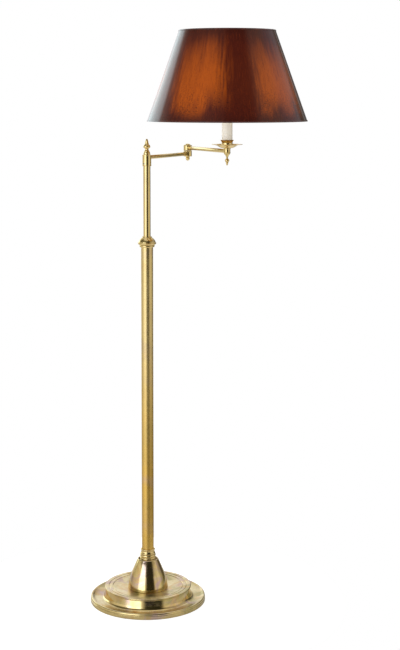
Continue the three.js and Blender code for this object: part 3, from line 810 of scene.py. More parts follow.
class Outline:
    """The outline of a turned piece in (radius, height), in millimetres."""

    def __init__(self, radius: float, height: float) -> None:
        """Start the outline.

        Args:
            radius: Distance from the axis.
            height: Height of the first point.
        """
        self.points: list[tuple[Vector, float]] = [(Vector((radius, height)), 0.0)]

    def line(self, radius: float, height: float, soften: float = 0.0) -> "Outline":
        """Go straight to a point.

        Args:
            radius: The point's distance from the axis.
            height: The point's height.
            soften: How far along both sides the corner there is rounded.

        Returns:
            The outline.
        """
        self.points.append((Vector((radius, height)), soften))
        return self

    def curve(
        self,
        bends: Sequence[tuple[float, float]],
        radius: float,
        height: float,
        steps: int = 8,
        soften: float = 0.0,
    ) -> "Outline":
        """Go to a point on a curve drawn by one or two control points.

        Args:
            bends: The control points.
            radius: The end's distance from the axis.
            height: The end's height.
            steps: Number of pieces of the curve.
            soften: How far the corner at the end is rounded.

        Returns:
            The outline.
        """
        hull = [self.points[-1][0], *(Vector(bend) for bend in bends), Vector((radius, height))]
        for step in range(1, steps + 1):
            rung = hull
            while len(rung) > 1:
                rung = [a.lerp(b, step / steps) for a, b in zip(rung, rung[1:])]
            self.points.append((rung[0], soften if step == steps else 0.0))
        return self

    def ring(self, radius: float, height: float, steps: int = 16) -> "Outline":
        """Go round a full circle centred beside the current point.

        Args:
            radius: Distance of the circle's centre from the axis.
            height: Height of the circle's centre.
            steps: Number of sides.

        Returns:
            The outline.
        """
        centre = Vector((radius, height))
        arm = self.points[-1][0] - centre
        for step in range(1, steps):
            swing = Matrix.Rotation(FULL_TURN * step / steps, 2)
            self.points.append((centre + swing @ arm, 0.0))
        return self

    def rounded(self) -> list[Vector]:
        """Round the softened corners.

        Returns:
            The outline's points.
        """
        result: list[Vector] = []
        count = len(self.points)
        for index, (corner, soften) in enumerate(self.points):
            if not soften:
                result.append(corner)
                continue
            before = self.points[index - 1][0] - corner
            after = self.points[(index + 1) % count][0] - corner
            start = corner + before.normalized() * min(soften, before.length * 0.4)
            end = corner + after.normalized() * min(soften, after.length * 0.4)
            # A point a little before and after the bend keeps the long faces flat when shaded.
            result.append(corner + before.normalized() * min(soften * 1.6, before.length * 0.48))
            for step in range(4):
                share = step / 3
                result.append(start.lerp(corner, share).lerp(corner.lerp(end, share), share))
            result.append(corner + after.normalized() * min(soften * 1.6, after.length * 0.48))
        return result


def shade_smooth(mesh: bpy.types.Mesh) -> None:
    """Shade a mesh smooth and keep its sharp edges crisp."""
    mesh.shade_smooth()
    mesh.set_sharp_from_angle(angle=CREASE)


def turn(
    outline: Outline, sides: int, sweep: float = FULL_TURN, start: float = 0.0
) -> bmesh.types.BMesh:
    """Spin an outline about the Z axis.

    Args:
        outline: The outline; one that stays off the axis is closed on itself.
        sides: Number of steps of the sweep.
        sweep: Angle of the sweep in radians.
        start: Angle in radians at which it starts.

    Returns:
        The turned shape, in metres.
    """
    shape = bmesh.new()
    points = outline.rounded()
    meets_axis = any(point.x < ON_AXIS for point in points)
    verts = [shape.verts.new((point.x * MM, 0, point.y * MM)) for point in points]
    pairs = list(zip(verts, verts[1:]))
    if not meets_axis:
        pairs.append((verts[-1], verts[0]))
    edges = [shape.edges.new(pair) for pair in pairs]
    full = math.isclose(sweep, FULL_TURN)
    if not full:
        shape.faces.new(verts)
    bmesh.ops.spin(
        shape,
        geom=[*shape.faces, *verts, *edges],
        cent=(0, 0, 0),
        axis=(0, 0, 1),
        angle=sweep,
        steps=sides,
        use_merge=full,
    )
    if start:
        bmesh.ops.rotate(shape, verts=shape.verts, matrix=Matrix.Rotation(start, 3, "Z"))
    bmesh.ops.remove_doubles(shape, verts=shape.verts, dist=WELD)
    bmesh.ops.recalc_face_normals(shape, faces=shape.faces)
    return shape


def rod(radius: float, length: float, sides: int = 48, soften: float = 0.25) -> bmesh.types.BMesh:
    """Make a round rod along +X from the origin.

    Args:
        radius: Radius in millimetres.
        length: Length in millimetres.
        sides: Number of sides.
        soften: Width of the bevel round its ends in millimetres.

    Returns:
        The rod, in metres.
    """
    shape = bmesh.new()
    bmesh.ops.create_cone(
        shape,
        cap_ends=True,
        segments=sides,
        radius1=radius * MM,
        radius2=radius * MM,
        depth=length * MM,
    )
    rims = [edge for edge in shape.edges if abs(edge.verts[0].co.z - edge.verts[1].co.z) < WELD]
    bmesh.ops.bevel(
        shape,
        geom=rims,
        offset=soften * MM,
        segments=2,
        profile=0.5,
        affect="EDGES",
        material=-1,
    )
    bmesh.ops.translate(shape, verts=shape.verts, vec=(0, 0, length * MM / 2))
    bmesh.ops.rotate(shape, verts=shape.verts, matrix=Matrix.Rotation(math.pi / 2, 3, "Y"))
    return shape


def wire(points: Iterable[Vector], radius: float, closed: bool = False) -> bpy.types.Mesh:
    """Bend a round wire through points.

    Args:
        points: Places in metres.
        radius: The wire's radius in millimetres.
        closed: Whether the wire joins up with its start.

    Returns:
        The wire's mesh.
    """
    curve = bpy.data.curves.new("wire", "CURVE")
    curve.dimensions = "3D"
    curve.bevel_depth = radius * MM
    curve.bevel_resolution = 3
    curve.use_fill_caps = not closed
    curve.resolution_u = 10
    places = list(points)
    spline = curve.splines.new("BEZIER")
    spline.bezier_points.add(len(places) - 1)
    spline.use_cyclic_u = closed
    for knot, place in zip(spline.bezier_points, places):
        knot.co = place
        knot.handle_left_type = knot.handle_right_type = "AUTO"
    carrier = bpy.data.objects.new("wire", curve)
    bpy.context.scene.collection.objects.link(carrier)
    depsgraph = bpy.context.evaluated_depsgraph_get()
    mesh = bpy.data.meshes.new_from_object(carrier.evaluated_get(depsgraph))
    bpy.data.objects.remove(carrier)
    bpy.data.curves.remove(curve)
    return mesh


def spokes(
    route: Sequence[tuple[float, float]], radius: float, count: int, start: float = 0.0
) -> list[bpy.types.Mesh]:
    """Bend equal wires that run outwards from the Z axis, evenly round it.

    Args:
        route: Each wire's points, by distance from the axis and height in millimetres.
        radius: The wire's radius in millimetres.
        count: Number of wires.
        start: Place of the first wire, as a share of the step between two.

    Returns:
        The wires' meshes.
    """
    wires = []
    for index in range(count):
        swing = Matrix.Rotation(FULL_TURN * (index + start) / count, 4, "Z")
        places = [swing @ Vector((reach * MM, 0, height * MM)) for reach, height in route]
        wires.append(wire(places, radius))
    return wires


def joined(parts: Iterable[bpy.types.Mesh | bmesh.types.BMesh]) -> bmesh.types.BMesh:
    """Gather several shapes in one.

    Args:
        parts: Meshes or shapes; they are used up.

    Returns:
        One shape.
    """
    whole = bmesh.new()
    for part in parts:
        mesh = part
        if isinstance(part, bmesh.types.BMesh):
            mesh = bpy.data.meshes.new("part")
            part.to_mesh(mesh)
            part.free()
        whole.from_mesh(mesh)
        bpy.data.meshes.remove(mesh)
    return whole


def moved(
    shape: bmesh.types.BMesh, x: float, y: float, z: float = 0.0, turned: float = 0.0
) -> bmesh.types.BMesh:
    """Turn a shape about Z and then move it.

    Args:
        shape: The shape.
        x: Move along X in millimetres.
        y: Move along Y in millimetres.
        z: Move along Z in millimetres.
        turned: Turn about Z in radians.

    Returns:
        The same shape.
    """
    place = Matrix.Translation(Vector((x, y, z)) * MM) @ Matrix.Rotation(turned, 4, "Z")
    bmesh.ops.transform(shape, matrix=place, verts=shape.verts)
    return shape


def make_piece(
    name: str,
    shape: bmesh.types.BMesh,
    finish: Finish,
    body: Body,
    replaces: Sequence[str] = (),
    holes: Sequence[bmesh.types.BMesh] = (),
) -> bpy.types.Object:
    """Make a finished piece of the lamp.

    Args:
        name: The piece's name.
        shape: Its shape in metres, in place; it is used up.
        finish: Its finish.
        body: The body it moves with.
        replaces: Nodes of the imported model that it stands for.
        holes: Shapes to cut out of it; they are used up.

    Returns:
        The piece.
    """
    piece = mesh_object(name, shape)
    for hole in holes:
        cutter = mesh_object(name + "_cutter", hole)
        modifier = piece.modifiers.new("hole", "BOOLEAN")
        modifier.operation = "DIFFERENCE"
        modifier.solver = "EXACT"
        modifier.object = cutter
        depsgraph = bpy.context.evaluated_depsgraph_get()
        cut_mesh = bpy.data.meshes.new_from_object(piece.evaluated_get(depsgraph))
        piece.modifiers.clear()
        piece.data = cut_mesh
        bpy.data.objects.remove(cutter)
    piece.data.materials.clear()
    piece.data.materials.append(finish.material())
    shade_smooth(piece.data)
    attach(piece, body.value)
    if replaces:
        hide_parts(*replaces)
    log.info("%s: %d faces on %s", name, len(piece.data.polygons), body.value)
    return piece


def mesh_object(name: str, shape: bmesh.types.BMesh) -> bpy.types.Object:
    """Turn a shape into an object in the scene.

    Args:
        name: The object's name.
        shape: The shape; it is used up.

    Returns:
        The object.
    """
    mesh = bpy.data.meshes.new(name)
    shape.to_mesh(mesh)
    shape.free()
    made = bpy.data.objects.new(name, mesh)
    bpy.context.scene.collection.objects.link(made)
    return made


def dress(finish: Finish, *nodes: str) -> None:
    """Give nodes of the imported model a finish.

    Args:
        finish: The finish.
        *nodes: The nodes' names.
    """
    for node in nodes:
        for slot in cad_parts[node].material_slots:
            slot.material = finish.material()


# ---------- the lamp's finishes ----------

CLEAN_BRASS = AgedBrass("brass_polished", patch_scale=22.0, patina=0.22, roughness=0.13)
SATIN_BRASS = AgedBrass(
    "brass_satin",
    colour=(0.84, 0.64, 0.28),
    patch_scale=9.0,
    patina=0.28,
    roughness=0.25,
    stretch=(900.0, 900.0, 14.0),
    line_depth=0.000002,
    deep_below=(0.75, 0.3),
)
DRAWN_BRASS = AgedBrass(
    "brass_drawn",
    patch_scale=10.0,
    patina=0.18,
    roughness=0.16,
    stretch=(700.0, 700.0, 12.0),
)
SPUN_BRASS = AgedBrass(
    "brass_spun",
    colour=(0.80, 0.61, 0.27),
    patch_scale=14.0,
    patina=0.9,
    roughness=0.07,
    dulled=0.24,
)
ZINC = Grained(
    "zinc_plate",
    light=(0.66, 0.67, 0.68),
    dark=(0.48, 0.49, 0.50),
    roughness=0.28,
    metallic=1.0,
    relief=0.00001,
)
RAW_IRON = Grained(
    "cast_weight",
    light=(0.13, 0.125, 0.12),
    dark=(0.06, 0.055, 0.05),
    scale=420.0,
    roughness=0.7,
    metallic=0.4,
    relief=0.0002,
)
GREEN_FELT = Grained(
    "green_felt",
    light=(0.050, 0.085, 0.055),
    dark=(0.020, 0.040, 0.024),
    scale=1400.0,
    roughness=0.92,
    relief=0.0004,
    sheen=0.08,
)
BLACK_RUBBER = Grained(
    "black_rubber",
    light=(0.035, 0.035, 0.036),
    dark=(0.018, 0.018, 0.018),
    scale=800.0,
    roughness=0.6,
)
NATURAL_NYLON = Grained(
    "natural_nylon",
    light=(0.82, 0.80, 0.73),
    dark=(0.74, 0.71, 0.62),
    scale=500.0,
    roughness=0.38,
)
GLAZED_PORCELAIN = Grained(
    "porcelain",
    light=(0.90, 0.89, 0.85),
    dark=(0.83, 0.81, 0.76),
    scale=260.0,
    roughness=0.2,
    coat=0.4,
)
BROWN_PLASTIC = Grained(
    "brown_plastic",
    light=(0.045, 0.022, 0.013),
    dark=(0.020, 0.010, 0.007),
    scale=350.0,
    roughness=0.22,
    coat=0.3,
)
OPAL_GLASS = Grained(
    "opal_glass",
    light=(0.93, 0.92, 0.88),
    dark=(0.88, 0.87, 0.82),
    scale=90.0,
    roughness=0.22,
    rough_spread=0.06,
    relief=0.000004,
    coat=0.5,
)
BINDING_TAPE = Grained(
    "binding_tape",
    light=(0.085, 0.016, 0.008),
    dark=(0.030, 0.006, 0.004),
    scale=700.0,
    roughness=0.3,
    relief=0.00004,
    coat=0.7,
)


# ---------- base ----------


@dataclass
class WeightedBase:
    """The round base: brass shell, felt, cone and cable outlet. Sizes are in millimetres.

    Attributes:
        sides: Steps round the large turned pieces.
        lip_height: Top of the outer lip above the floor.
        lip_width: Width of the lip, from the rim inwards.
        dish_level: Floor of the dish between the lip and the step.
        wall_radius: Narrowest radius of the flared step wall, under the rim.
        step_radius: Radius of the step's rim.
        well_level: Height of the middle, where the cone stands.
        metal: Thickness of the spun brass.
        bore: Radius of the hole for the threaded pipe.
        outlet: Radius of the cable's hole in the step wall.
    """

    sides: int = 160
    lip_height: float = 15.1
    lip_width: float = 6.2
    dish_level: float = 9.0
    wall_radius: float = 106.6
    step_radius: float = 110.0
    well_level: float = 32.4
    metal: float = 1.6
    bore: float = 7.2
    outlet: float = 4.6

    def build(self) -> None:
        """Build and dress every piece of the base."""
        self.shell()
        self.felt()
        self.cone()
        self.grommet()
        dress(RAW_IRON, "base_weight")
        dress(ZINC, "base_plate", "base_pipe", "base_nut", "base_washer")

    def shell(self) -> None:
        """Turn the lip, dish, step wall, rim, grooves and well in one skin."""
        seat = Seat.of("base_flange")
        rim, low = seat.radius, seat.bottom
        edge, lip, dish = rim - self.lip_width, self.lip_height, self.dish_level
        step, top, wall = self.step_radius, seat.top, self.wall_radius
        outline = Outline(rim - 1.7, low)
        outline.line(rim, low, 0.5).line(rim, lip - 6.3, 0.35)
        outline.line(rim - 0.75, lip - 5.5, 0.3).line(rim - 0.75, lip - 4.5)
        outline.curve([(rim - 0.75, lip)], rim - 3.6, lip, 10)
        outline.curve([(edge + 0.6, lip)], edge, lip - 0.9, 5, 0.3)
        outline.line(edge - 0.9, lip - 1.3, 0.4)
        outline.curve([(132, dish + 0.2)], 120, dish, 14)
        outline.curve([(wall + 6.8, dish + 0.2), (wall + 3.6, dish + 4)], wall + 2.4, dish + 11.4, 14)
        outline.line(wall + 1.2, top - 11.7).line(wall, top - 4.9, 0.5)
        outline.line(step - 1.4, top - 4.0, 0.6)
        outline.curve([(step + 0.2, top - 3.8)], step, top - 2.2, 6)
        outline.curve([(step, top - 0.1)], step - 2.6, top, 6)
        outline.line(100.1, top - 0.4, 0.5).line(99.3, top - 1.4, 0.35)
        outline.line(98.3, top - 1.4, 0.35).line(97.4, top - 0.55, 0.5)
        outline.line(90.1, top - 1.2, 0.5).line(89.3, top - 2.2, 0.35)
        outline.line(88.4, top - 2.2, 0.35).line(87.6, top - 1.6, 0.5)
        outline.curve([(70, self.well_level + 0.3)], 50, self.well_level, 14)
        outline.line(self.bore, self.well_level)
        under, inner = dish - self.metal, self.well_level - self.metal
        outline.line(self.bore, inner).line(50, inner)
        outline.curve([(68, inner)], 86, top - 4.3, 6)
        outline.line(102, top - 3.1).line(wall - 1.7, top - 5.9).line(wall + 0.7, dish + 11.4)
        outline.curve([(wall + 2, dish + 3), (wall + 5, under)], 120, under, 8)
        outline.curve([(131, under)], 139.5, lip - 2.9, 6)
        outline.line(rim - 2.3, lip - 2.5)
        height = Seat.of("cable_grommet").bottom + 5.4
        hole = moved(rod(self.outlet, 20, 32), 0, 96, height, math.pi / 2)
        make_piece(
            "base_shell",
            turn(outline, self.sides),
            SPUN_BRASS,
            Body.STAND,
            ["base_flange"],
            [hole],
        )

    def felt(self) -> None:
        """Turn the felt pad under the base."""
        seat = Seat.of("base_felt")
        outline = Outline(0, seat.bottom).line(seat.radius, seat.bottom, 0.6)
        outline.line(seat.radius, seat.top, 0.6).line(0, seat.top)
        make_piece(
            "felt_pad", turn(outline, 96), GREEN_FELT, Body.STAND, ["base_felt"]
        )

    def cone(self) -> None:
        """Turn the bell-shaped cone with the shallow recess in its top."""
        seat = Seat.of("base_cone")
        foot, top = seat.bottom, seat.top
        outline = Outline(47, foot).line(50.6, foot, 0.3)
        outline.curve([(51.2, foot + 1.6)], 50.8, foot + 3.9, 6)
        outline.curve([(49.6, foot + 12), (46.6, foot + 27)], 41.6, foot + 39.8, 16)
        outline.curve([(36, foot + 53), (30.2, foot + 67)], 27.0, top - 2.6, 10)
        outline.curve([(26.2, top - 0.3)], 24.9, top, 6)
        outline.curve([(23.7, top)], 23.4, top - 1.6, 5)
        floor, web = top - 3.9, top - 6.3
        outline.line(23.4, floor).line(7.2, floor).line(7.2, web).line(24.2, web)
        outline.line(40.4, foot + 38.8).curve([(46, foot + 23)], 48.6, foot + 4.3, 8)
        shape = turn(outline, 128)
        make_piece("bell_cone", shape, SPUN_BRASS, Body.STAND, ["base_cone"])

    def grommet(self) -> None:
        """Turn the rubber grommet of the cable outlet, at the back."""
        low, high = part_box("cable_grommet")
        near, far = low.y / MM, high.y / MM
        outline = Outline(2.9, near).line(4.2, near, 0.3).line(4.2, far - 2.4, 0.2)
        outline.line(5.4, far - 2.4, 0.4).curve([(5.4, far)], 2.9, far, 8)
        shape = turn(outline, 48)
        lay = Matrix.Rotation(-math.pi / 2, 3, "X")
        bmesh.ops.rotate(shape, verts=shape.verts, matrix=lay)
        moved(shape, 0, 0, (low.z + high.z) / 2 / MM)
        make_piece(
            "outlet_grommet", shape, BLACK_RUBBER, Body.STAND, ["cable_grommet"]
        )


# ---------- column ----------


@dataclass
class Column:
    """The lower column with its neck rings and the collar's seat. Sizes are in millimetres.

    Attributes:
        sides: Steps round the turned pieces.
        ring_bulge: Radius of the lower neck ring at its two beads.
        bore: Radius of the pipe's hole.
        pitch: Distance between the turns of the collar's thread.
        wall: Thickness of the tube.
    """

    sides: int = 96
    ring_bulge: float = 20.5
    bore: float = 7.2
    pitch: float = 1.5
    wall: float = 1.5

    def build(self) -> None:
        """Build and dress every piece of the column."""
        self.neck_rings()
        self.tube()
        self.collar_seat()
        dress(NATURAL_NYLON, "collar_collet")
        dress(SATIN_BRASS, "column_plug")

    def neck_rings(self) -> None:
        """Turn the two rings between the cone and the tube."""
        lower = Seat.of("neck_ring_lower")
        foot, top, bulge = lower.bottom, lower.top, self.ring_bulge
        outline = Outline(self.bore, foot).line(20.2, foot, 0.4).line(20.2, foot + 2.2, 0.4)
        outline.line(19.2, foot + 3.2, 0.3)
        bead = [(bulge + 0.5, foot + 3.9), (bulge + 0.5, foot + 7.6)]
        outline.curve(bead, 19.3, foot + 8.3, 10, 0.15)
        outline.line(18.7, foot + 9.2, 0.3).line(19.1, foot + 10.1, 0.15)
        outline.curve([(bulge + 0.2, foot + 10.6), (bulge, top - 0.7)], 18.7, top, 8, 0.2)
        outline.line(self.bore, top)
        shape = turn(outline, self.sides)
        make_piece("neck_ring_low", shape, CLEAN_BRASS, Body.STAND, ["neck_ring_lower"])
        upper = Seat.of("neck_ring_upper")
        foot, top = upper.bottom, upper.top
        outline = Outline(15.55, foot).line(18.4, foot, 0.3)
        outline.curve([(19.5, foot + 0.8)], 19.0, foot + 2.6, 6)
        outline.curve([(18.4, foot + 3.6), (17.6, foot + 4.6)], 17.2, foot + 6.6, 8)
        outline.line(17.2, foot + 9.4).curve([(17.4, foot + 10.2)], 18.2, foot + 10.9, 6)
        outline.curve([(18.5, foot + 12.4)], 17.3, top - 0.5, 6, 0.2)
        outline.line(16.2, top, 0.2).line(15.55, top - 0.5)
        shape = turn(outline, self.sides)
        make_piece(
            "neck_ring_high", shape, CLEAN_BRASS, Body.STAND, ["neck_ring_upper"]
        )

    def tube(self) -> None:
        """Turn the long column tube."""
        seat = Seat.of("column_tube")
        inner = seat.radius - self.wall
        outline = Outline(inner, seat.bottom).line(seat.radius, seat.bottom, 0.2)
        outline.line(seat.radius, seat.top, 0.3).line(inner, seat.top, 0.3)
        shape = turn(outline, self.sides)
        make_piece("lower_tube", shape, SATIN_BRASS, Body.STAND, ["column_tube"])

    def collar_seat(self) -> None:
        """Turn the threaded ring that the locking collar screws on."""
        seat = Seat.of("collar_seat")
        foot, top = seat.bottom, seat.top
        outline = Outline(15.5, foot).line(18.4, foot, 0.3)
        outline.curve([(19.9, foot + 2.4)], 18.5, foot + 4.6, 10, 0.2)
        outline.line(16.6, foot + 4.7, 0.2)
        turns = int((top - foot - 6.2) / self.pitch)
        for index in range(turns):
            height = foot + 5.6 + index * self.pitch
            outline.line(16.6, height).line(16.0, height + self.pitch / 2)
        ledge = foot + 3.5
        outline.line(16.3, top, 0.2).line(13.8, top, 0.2).line(13.8, ledge).line(15.5, ledge)
        shape = turn(outline, self.sides)
        make_piece("collar_thread", shape, CLEAN_BRASS, Body.STAND, ["collar_seat"])


@dataclass
class LockingCollar:
    """The domed collar that grips the riser. Sizes are in millimetres.

    Attributes:
        sides: Steps round it.
        rim: Greatest radius.
        throat: Radius of the hole that the riser passes through.
    """

    sides: int = 96
    rim: float = 23.4
    throat: float = 9.5

    def build(self) -> None:
        """Turn the collar."""
        seat = Seat.of("locking_collar")
        foot, top = seat.bottom, seat.top
        outline = Outline(17.1, foot).line(19.8, foot, 0.3).line(20.2, foot + 1.0, 0.3)
        outline.curve([(self.rim - 1.6, foot + 1.4)], self.rim - 0.5, foot + 3.0, 5)
        outline.curve([(self.rim + 0.5, foot + 4.6)], self.rim - 0.5, foot + 6.2, 8, 0.2)
        outline.line(self.rim - 1.7, foot + 6.9, 0.25)
        outline.curve([(20.6, foot + 11.6), (17.2, foot + 15.4)], 13.6, foot + 18.0, 12)
        outline.curve([(12.2, foot + 19.0)], 11.9, foot + 20.1, 5, 0.15)
        outline.line(12.1, foot + 20.5, 0.15).line(12.0, top - 0.5, 0.3).line(11.2, top, 0.25)
        outline.line(self.throat, top, 0.25).line(self.throat, foot + 17.2)
        outline.line(11.9, foot + 17.2).line(14.2, foot + 12.6).line(17.1, foot + 12)
        shape = turn(outline, self.sides)
        make_piece("domed_collar", shape, CLEAN_BRASS, Body.COLLAR, ["locking_collar"])


@dataclass
class Riser:
    """The sliding tube with the dome and finial over the arm's hub. Sizes are in millimetres.

    Attributes:
        sides: Steps round the turned pieces.
        wall: Thickness of the tube.
    """

    sides: int = 72
    wall: float = 1.2

    def build(self) -> None:
        """Build and dress every piece of the riser."""
        self.tube()
        self.dome()
        self.finial()
        dress(NATURAL_NYLON, "riser_guide")
        dress(CLEAN_BRASS, "hub_spindle")

    def tube(self) -> None:
        """Turn the riser's tube."""
        seat = Seat.of("riser_tube")
        inner = seat.radius - self.wall
        outline = Outline(inner, seat.bottom).line(seat.radius, seat.bottom, 0.3)
        outline.line(seat.radius, seat.top, 0.25).line(inner, seat.top)
        shape = turn(outline, self.sides)
        make_piece("riser", shape, DRAWN_BRASS, Body.RISER, ["riser_tube"])

    def dome(self) -> None:
        """Turn the stepped dome under the finial."""
        seat = Seat.of("finial_dome")
        foot, top = seat.bottom, seat.top
        outline = Outline(3.8, foot).line(8.9, foot, 0.2)
        outline.curve([(9.3, foot + 0.6)], 8.9, foot + 1.4, 5, 0.1)
        outline.line(8.5, foot + 1.9, 0.15)
        outline.curve([(8.4, foot + 5.4)], 7.3, foot + 7.0, 7, 0.1)
        outline.line(6.7, foot + 7.4, 0.15)
        outline.curve([(6.3, foot + 10.4)], 4.9, foot + 11.4, 6)
        outline.line(4.7, top, 0.1).line(3.8, top)
        shape = turn(outline, self.sides)
        make_piece("hub_dome", shape, CLEAN_BRASS, Body.RISER, ["finial_dome"])

    def finial(self) -> None:
        """Turn the flame finial."""
        seat = Seat.of("top_finial")
        foot, top = seat.bottom, seat.top
        outline = Outline(0, foot).line(4.7, foot)
        outline.curve([(4.0, foot + 1.5)], 5.4, foot + 2.6, 6, 0.1)
        outline.curve([(8.9, foot + 3.8), (9.6, foot + 7.2)], 8.2, foot + 9.2, 10)
        outline.curve([(7.6, foot + 10.6), (6.4, foot + 11.4)], 5.6, foot + 12.6, 7, 0.1)
        outline.curve([(4.6, foot + 13.6), (4.4, foot + 16.2)], 3.9, foot + 19.4, 8)
        outline.curve([(3.0, foot + 23), (2.3, top)], 0, top, 10)
        shape = turn(outline, self.sides)
        make_piece("flame_finial", shape, CLEAN_BRASS, Body.RISER, ["top_finial"])


# ---------- arms ----------


def direction(start: Seat, end: Seat) -> float:
    """Return the angle in radians from one seat's axis to another's, seen from above."""
    return math.atan2(end.y - start.y, end.x - start.x)


@dataclass
class SwingArm:
    """Both arm tubes, the column hub and the elbow. Sizes are in millimetres.

    Attributes:
        sides: Steps round the turned pieces.
        tube_radius: Radius of both arm tubes.
        seat_depth: Distance from a pivot's axis to a tube's end.
        hub_radius: Radius of the column hub and of both knuckles.
        screw_turn: Angle in degrees at which the hub's stop screw sits.
        screw_radius: Radius of the stop screw's hole.
        elbow_bore: Radius of the hole for the elbow's pin.
    """

    sides: int = 72
    tube_radius: float = 5.0
    seat_depth: float = 8.0
    hub_radius: float = 11.4
    screw_turn: float = 233.0
    screw_radius: float = 2.1
    elbow_bore: float = 4.6

    def build(self) -> None:
        """Build and dress both arms."""
        hub = Seat.of("column_hub")
        elbow = Seat.of("elbow_washer")
        end = Seat.of("candle_sleeve")
        self.hub(hub)
        self.tube("inner_arm", "arm_1_tube", hub, elbow, Body.FIRST_ARM)
        self.knuckle("lower_knuckle", "elbow_knuckle_lower", elbow, Body.FIRST_ARM)
        self.pin(elbow)
        self.tube("outer_arm", "arm_2_tube", elbow, end, Body.SECOND_ARM)
        self.knuckle("upper_knuckle", "elbow_knuckle_upper", elbow, Body.SECOND_ARM)

    def hub(self, seat: Seat) -> None:
        """Turn the column hub, with its stop screw.

        Args:
            seat: The hub's seat.
        """
        foot, top, radius = seat.bottom, seat.top, self.hub_radius
        outline = Outline(9.5, foot).line(radius - 0.1, foot, 0.35)
        outline.line(radius, foot + 1.6, 0.15).line(radius - 0.35, foot + 2.0, 0.15)
        outline.line(radius - 0.35, top - 2.0, 0.15).line(radius, top - 1.6, 0.15)
        outline.line(radius - 0.1, top, 0.4).line(6.6, top).line(6.6, foot + 2.3)
        outline.line(9.5, foot + 2.3)
        bearing = math.radians(self.screw_turn)
        height = Seat.of("hub_screw").middle
        reach = Vector((math.cos(bearing), math.sin(bearing)))
        hole = moved(rod(self.screw_radius, 6, 32), *(reach * 9.2), height, bearing)
        make_piece(
            "swivel_hub",
            turn(outline, 96),
            CLEAN_BRASS,
            Body.FIRST_ARM,
            ["column_hub"],
            [hole],
        )
        socket = moved(rod(0.9, 3, 6), *(reach * (radius - 1.6)), height, bearing)
        screw = moved(rod(self.screw_radius - 0.25, 2.6, 32, 0.3), *(reach * 8.3), height, bearing)
        make_piece(
            "stop_screw", screw, ZINC, Body.FIRST_ARM, ["hub_screw"], [socket]
        )

    def tube(self, name: str, node: str, start: Seat, end: Seat, body: Body) -> None:
        """Make an arm tube between two pivots.

        Args:
            name: The piece's name.
            node: The node that it replaces.
            start: Seat of the pivot at its start.
            end: Seat of the pivot at its end.
            body: The body that it moves with.
        """
        height = Seat.of(node).middle
        bearing = direction(start, end)
        reach = math.hypot(end.x - start.x, end.y - start.y)
        near = self.seat_depth
        shape = rod(self.tube_radius, reach - 2 * near, 64)
        ahead = Vector((math.cos(bearing), math.sin(bearing))) * near
        moved(shape, start.x + ahead.x, start.y + ahead.y, height, bearing)
        finish = AgedBrass(
            "brass_" + name,
            centre=(start.x * MM, start.y * MM, height * MM),
            patch_scale=14.0,
            patina=0.3,
            roughness=0.16,
            stretch=(60.0, 60.0, 700.0),
        )
        make_piece(name, shape, finish, body, [node])

    def knuckle(self, name: str, node: str, elbow: Seat, body: Body) -> None:
        """Turn one of the elbow's two knuckles.

        Args:
            name: The piece's name.
            node: The node that it replaces.
            elbow: Seat of the elbow.
            body: The body that it moves with.
        """
        seat = Seat.of(node)
        foot, top = seat.bottom, seat.top
        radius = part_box(node)[1].y / MM - elbow.y
        outline = Outline(self.elbow_bore, foot).line(radius - 0.5, foot, 0.3)
        outline.line(radius, foot + 0.9, 0.3).line(radius, foot + 1.8, 0.15)
        outline.line(radius - 0.4, foot + 2.2, 0.15).line(radius - 0.4, top - 2.2, 0.15)
        outline.line(radius, top - 1.8, 0.15).line(radius, top - 0.9, 0.3)
        outline.line(radius - 0.5, top, 0.3).line(self.elbow_bore, top)
        shape = moved(turn(outline, self.sides), elbow.x, elbow.y)
        make_piece(name, shape, CLEAN_BRASS, body, [node])

    def pin(self, elbow: Seat) -> None:
        """Turn the elbow's pin, washer and ball-shaped nut.

        Args:
            elbow: Seat of the elbow.
        """
        seat = Seat.of("elbow_pin")
        head, foot = seat.top - 3.6, seat.bottom
        outline = Outline(0, foot).line(2.6, foot, 0.3).line(2.6, foot + 6.6).line(4.1, foot + 6.6)
        outline.line(4.1, head).line(8.2, head, 0.3).line(8.2, head + 0.8, 0.3)
        outline.line(6.2, head + 1.2, 0.2).curve([(5.4, seat.top)], 0, seat.top, 10)
        shape = moved(turn(outline, self.sides), elbow.x, elbow.y)
        make_piece(
            "elbow_bolt", shape, CLEAN_BRASS, Body.FIRST_ARM, ["elbow_pin"]
        )
        outline = Outline(self.elbow_bore, elbow.bottom).line(10.2, elbow.bottom, 0.2)
        outline.line(10.2, elbow.top, 0.2).line(self.elbow_bore, elbow.top)
        shape = moved(turn(outline, self.sides), elbow.x, elbow.y)
        make_piece(
            "elbow_shim", shape, NATURAL_NYLON, Body.FIRST_ARM, ["elbow_washer"]
        )
        ball = Seat.of("elbow_acorn_nut")
        low, high = ball.bottom, ball.top
        outline = Outline(0, low).curve([(2.2, low), (4.0, low + 1.4)], 5.0, low + 4.0, 8)
        outline.curve([(5.9, low + 6.4), (5.4, low + 7.8)], 4.4, low + 8.6, 8, 0.1)
        outline.curve([(5.6, low + 9.2)], 5.7, high - 1.2, 5).line(5.7, high, 0.2).line(0, high)
        shape = moved(turn(outline, self.sides), elbow.x, elbow.y)
        make_piece(
            "elbow_ball_nut", shape, CLEAN_BRASS, Body.FIRST_ARM, ["elbow_acorn_nut"]
        )


# ---------- candle fitting ----------


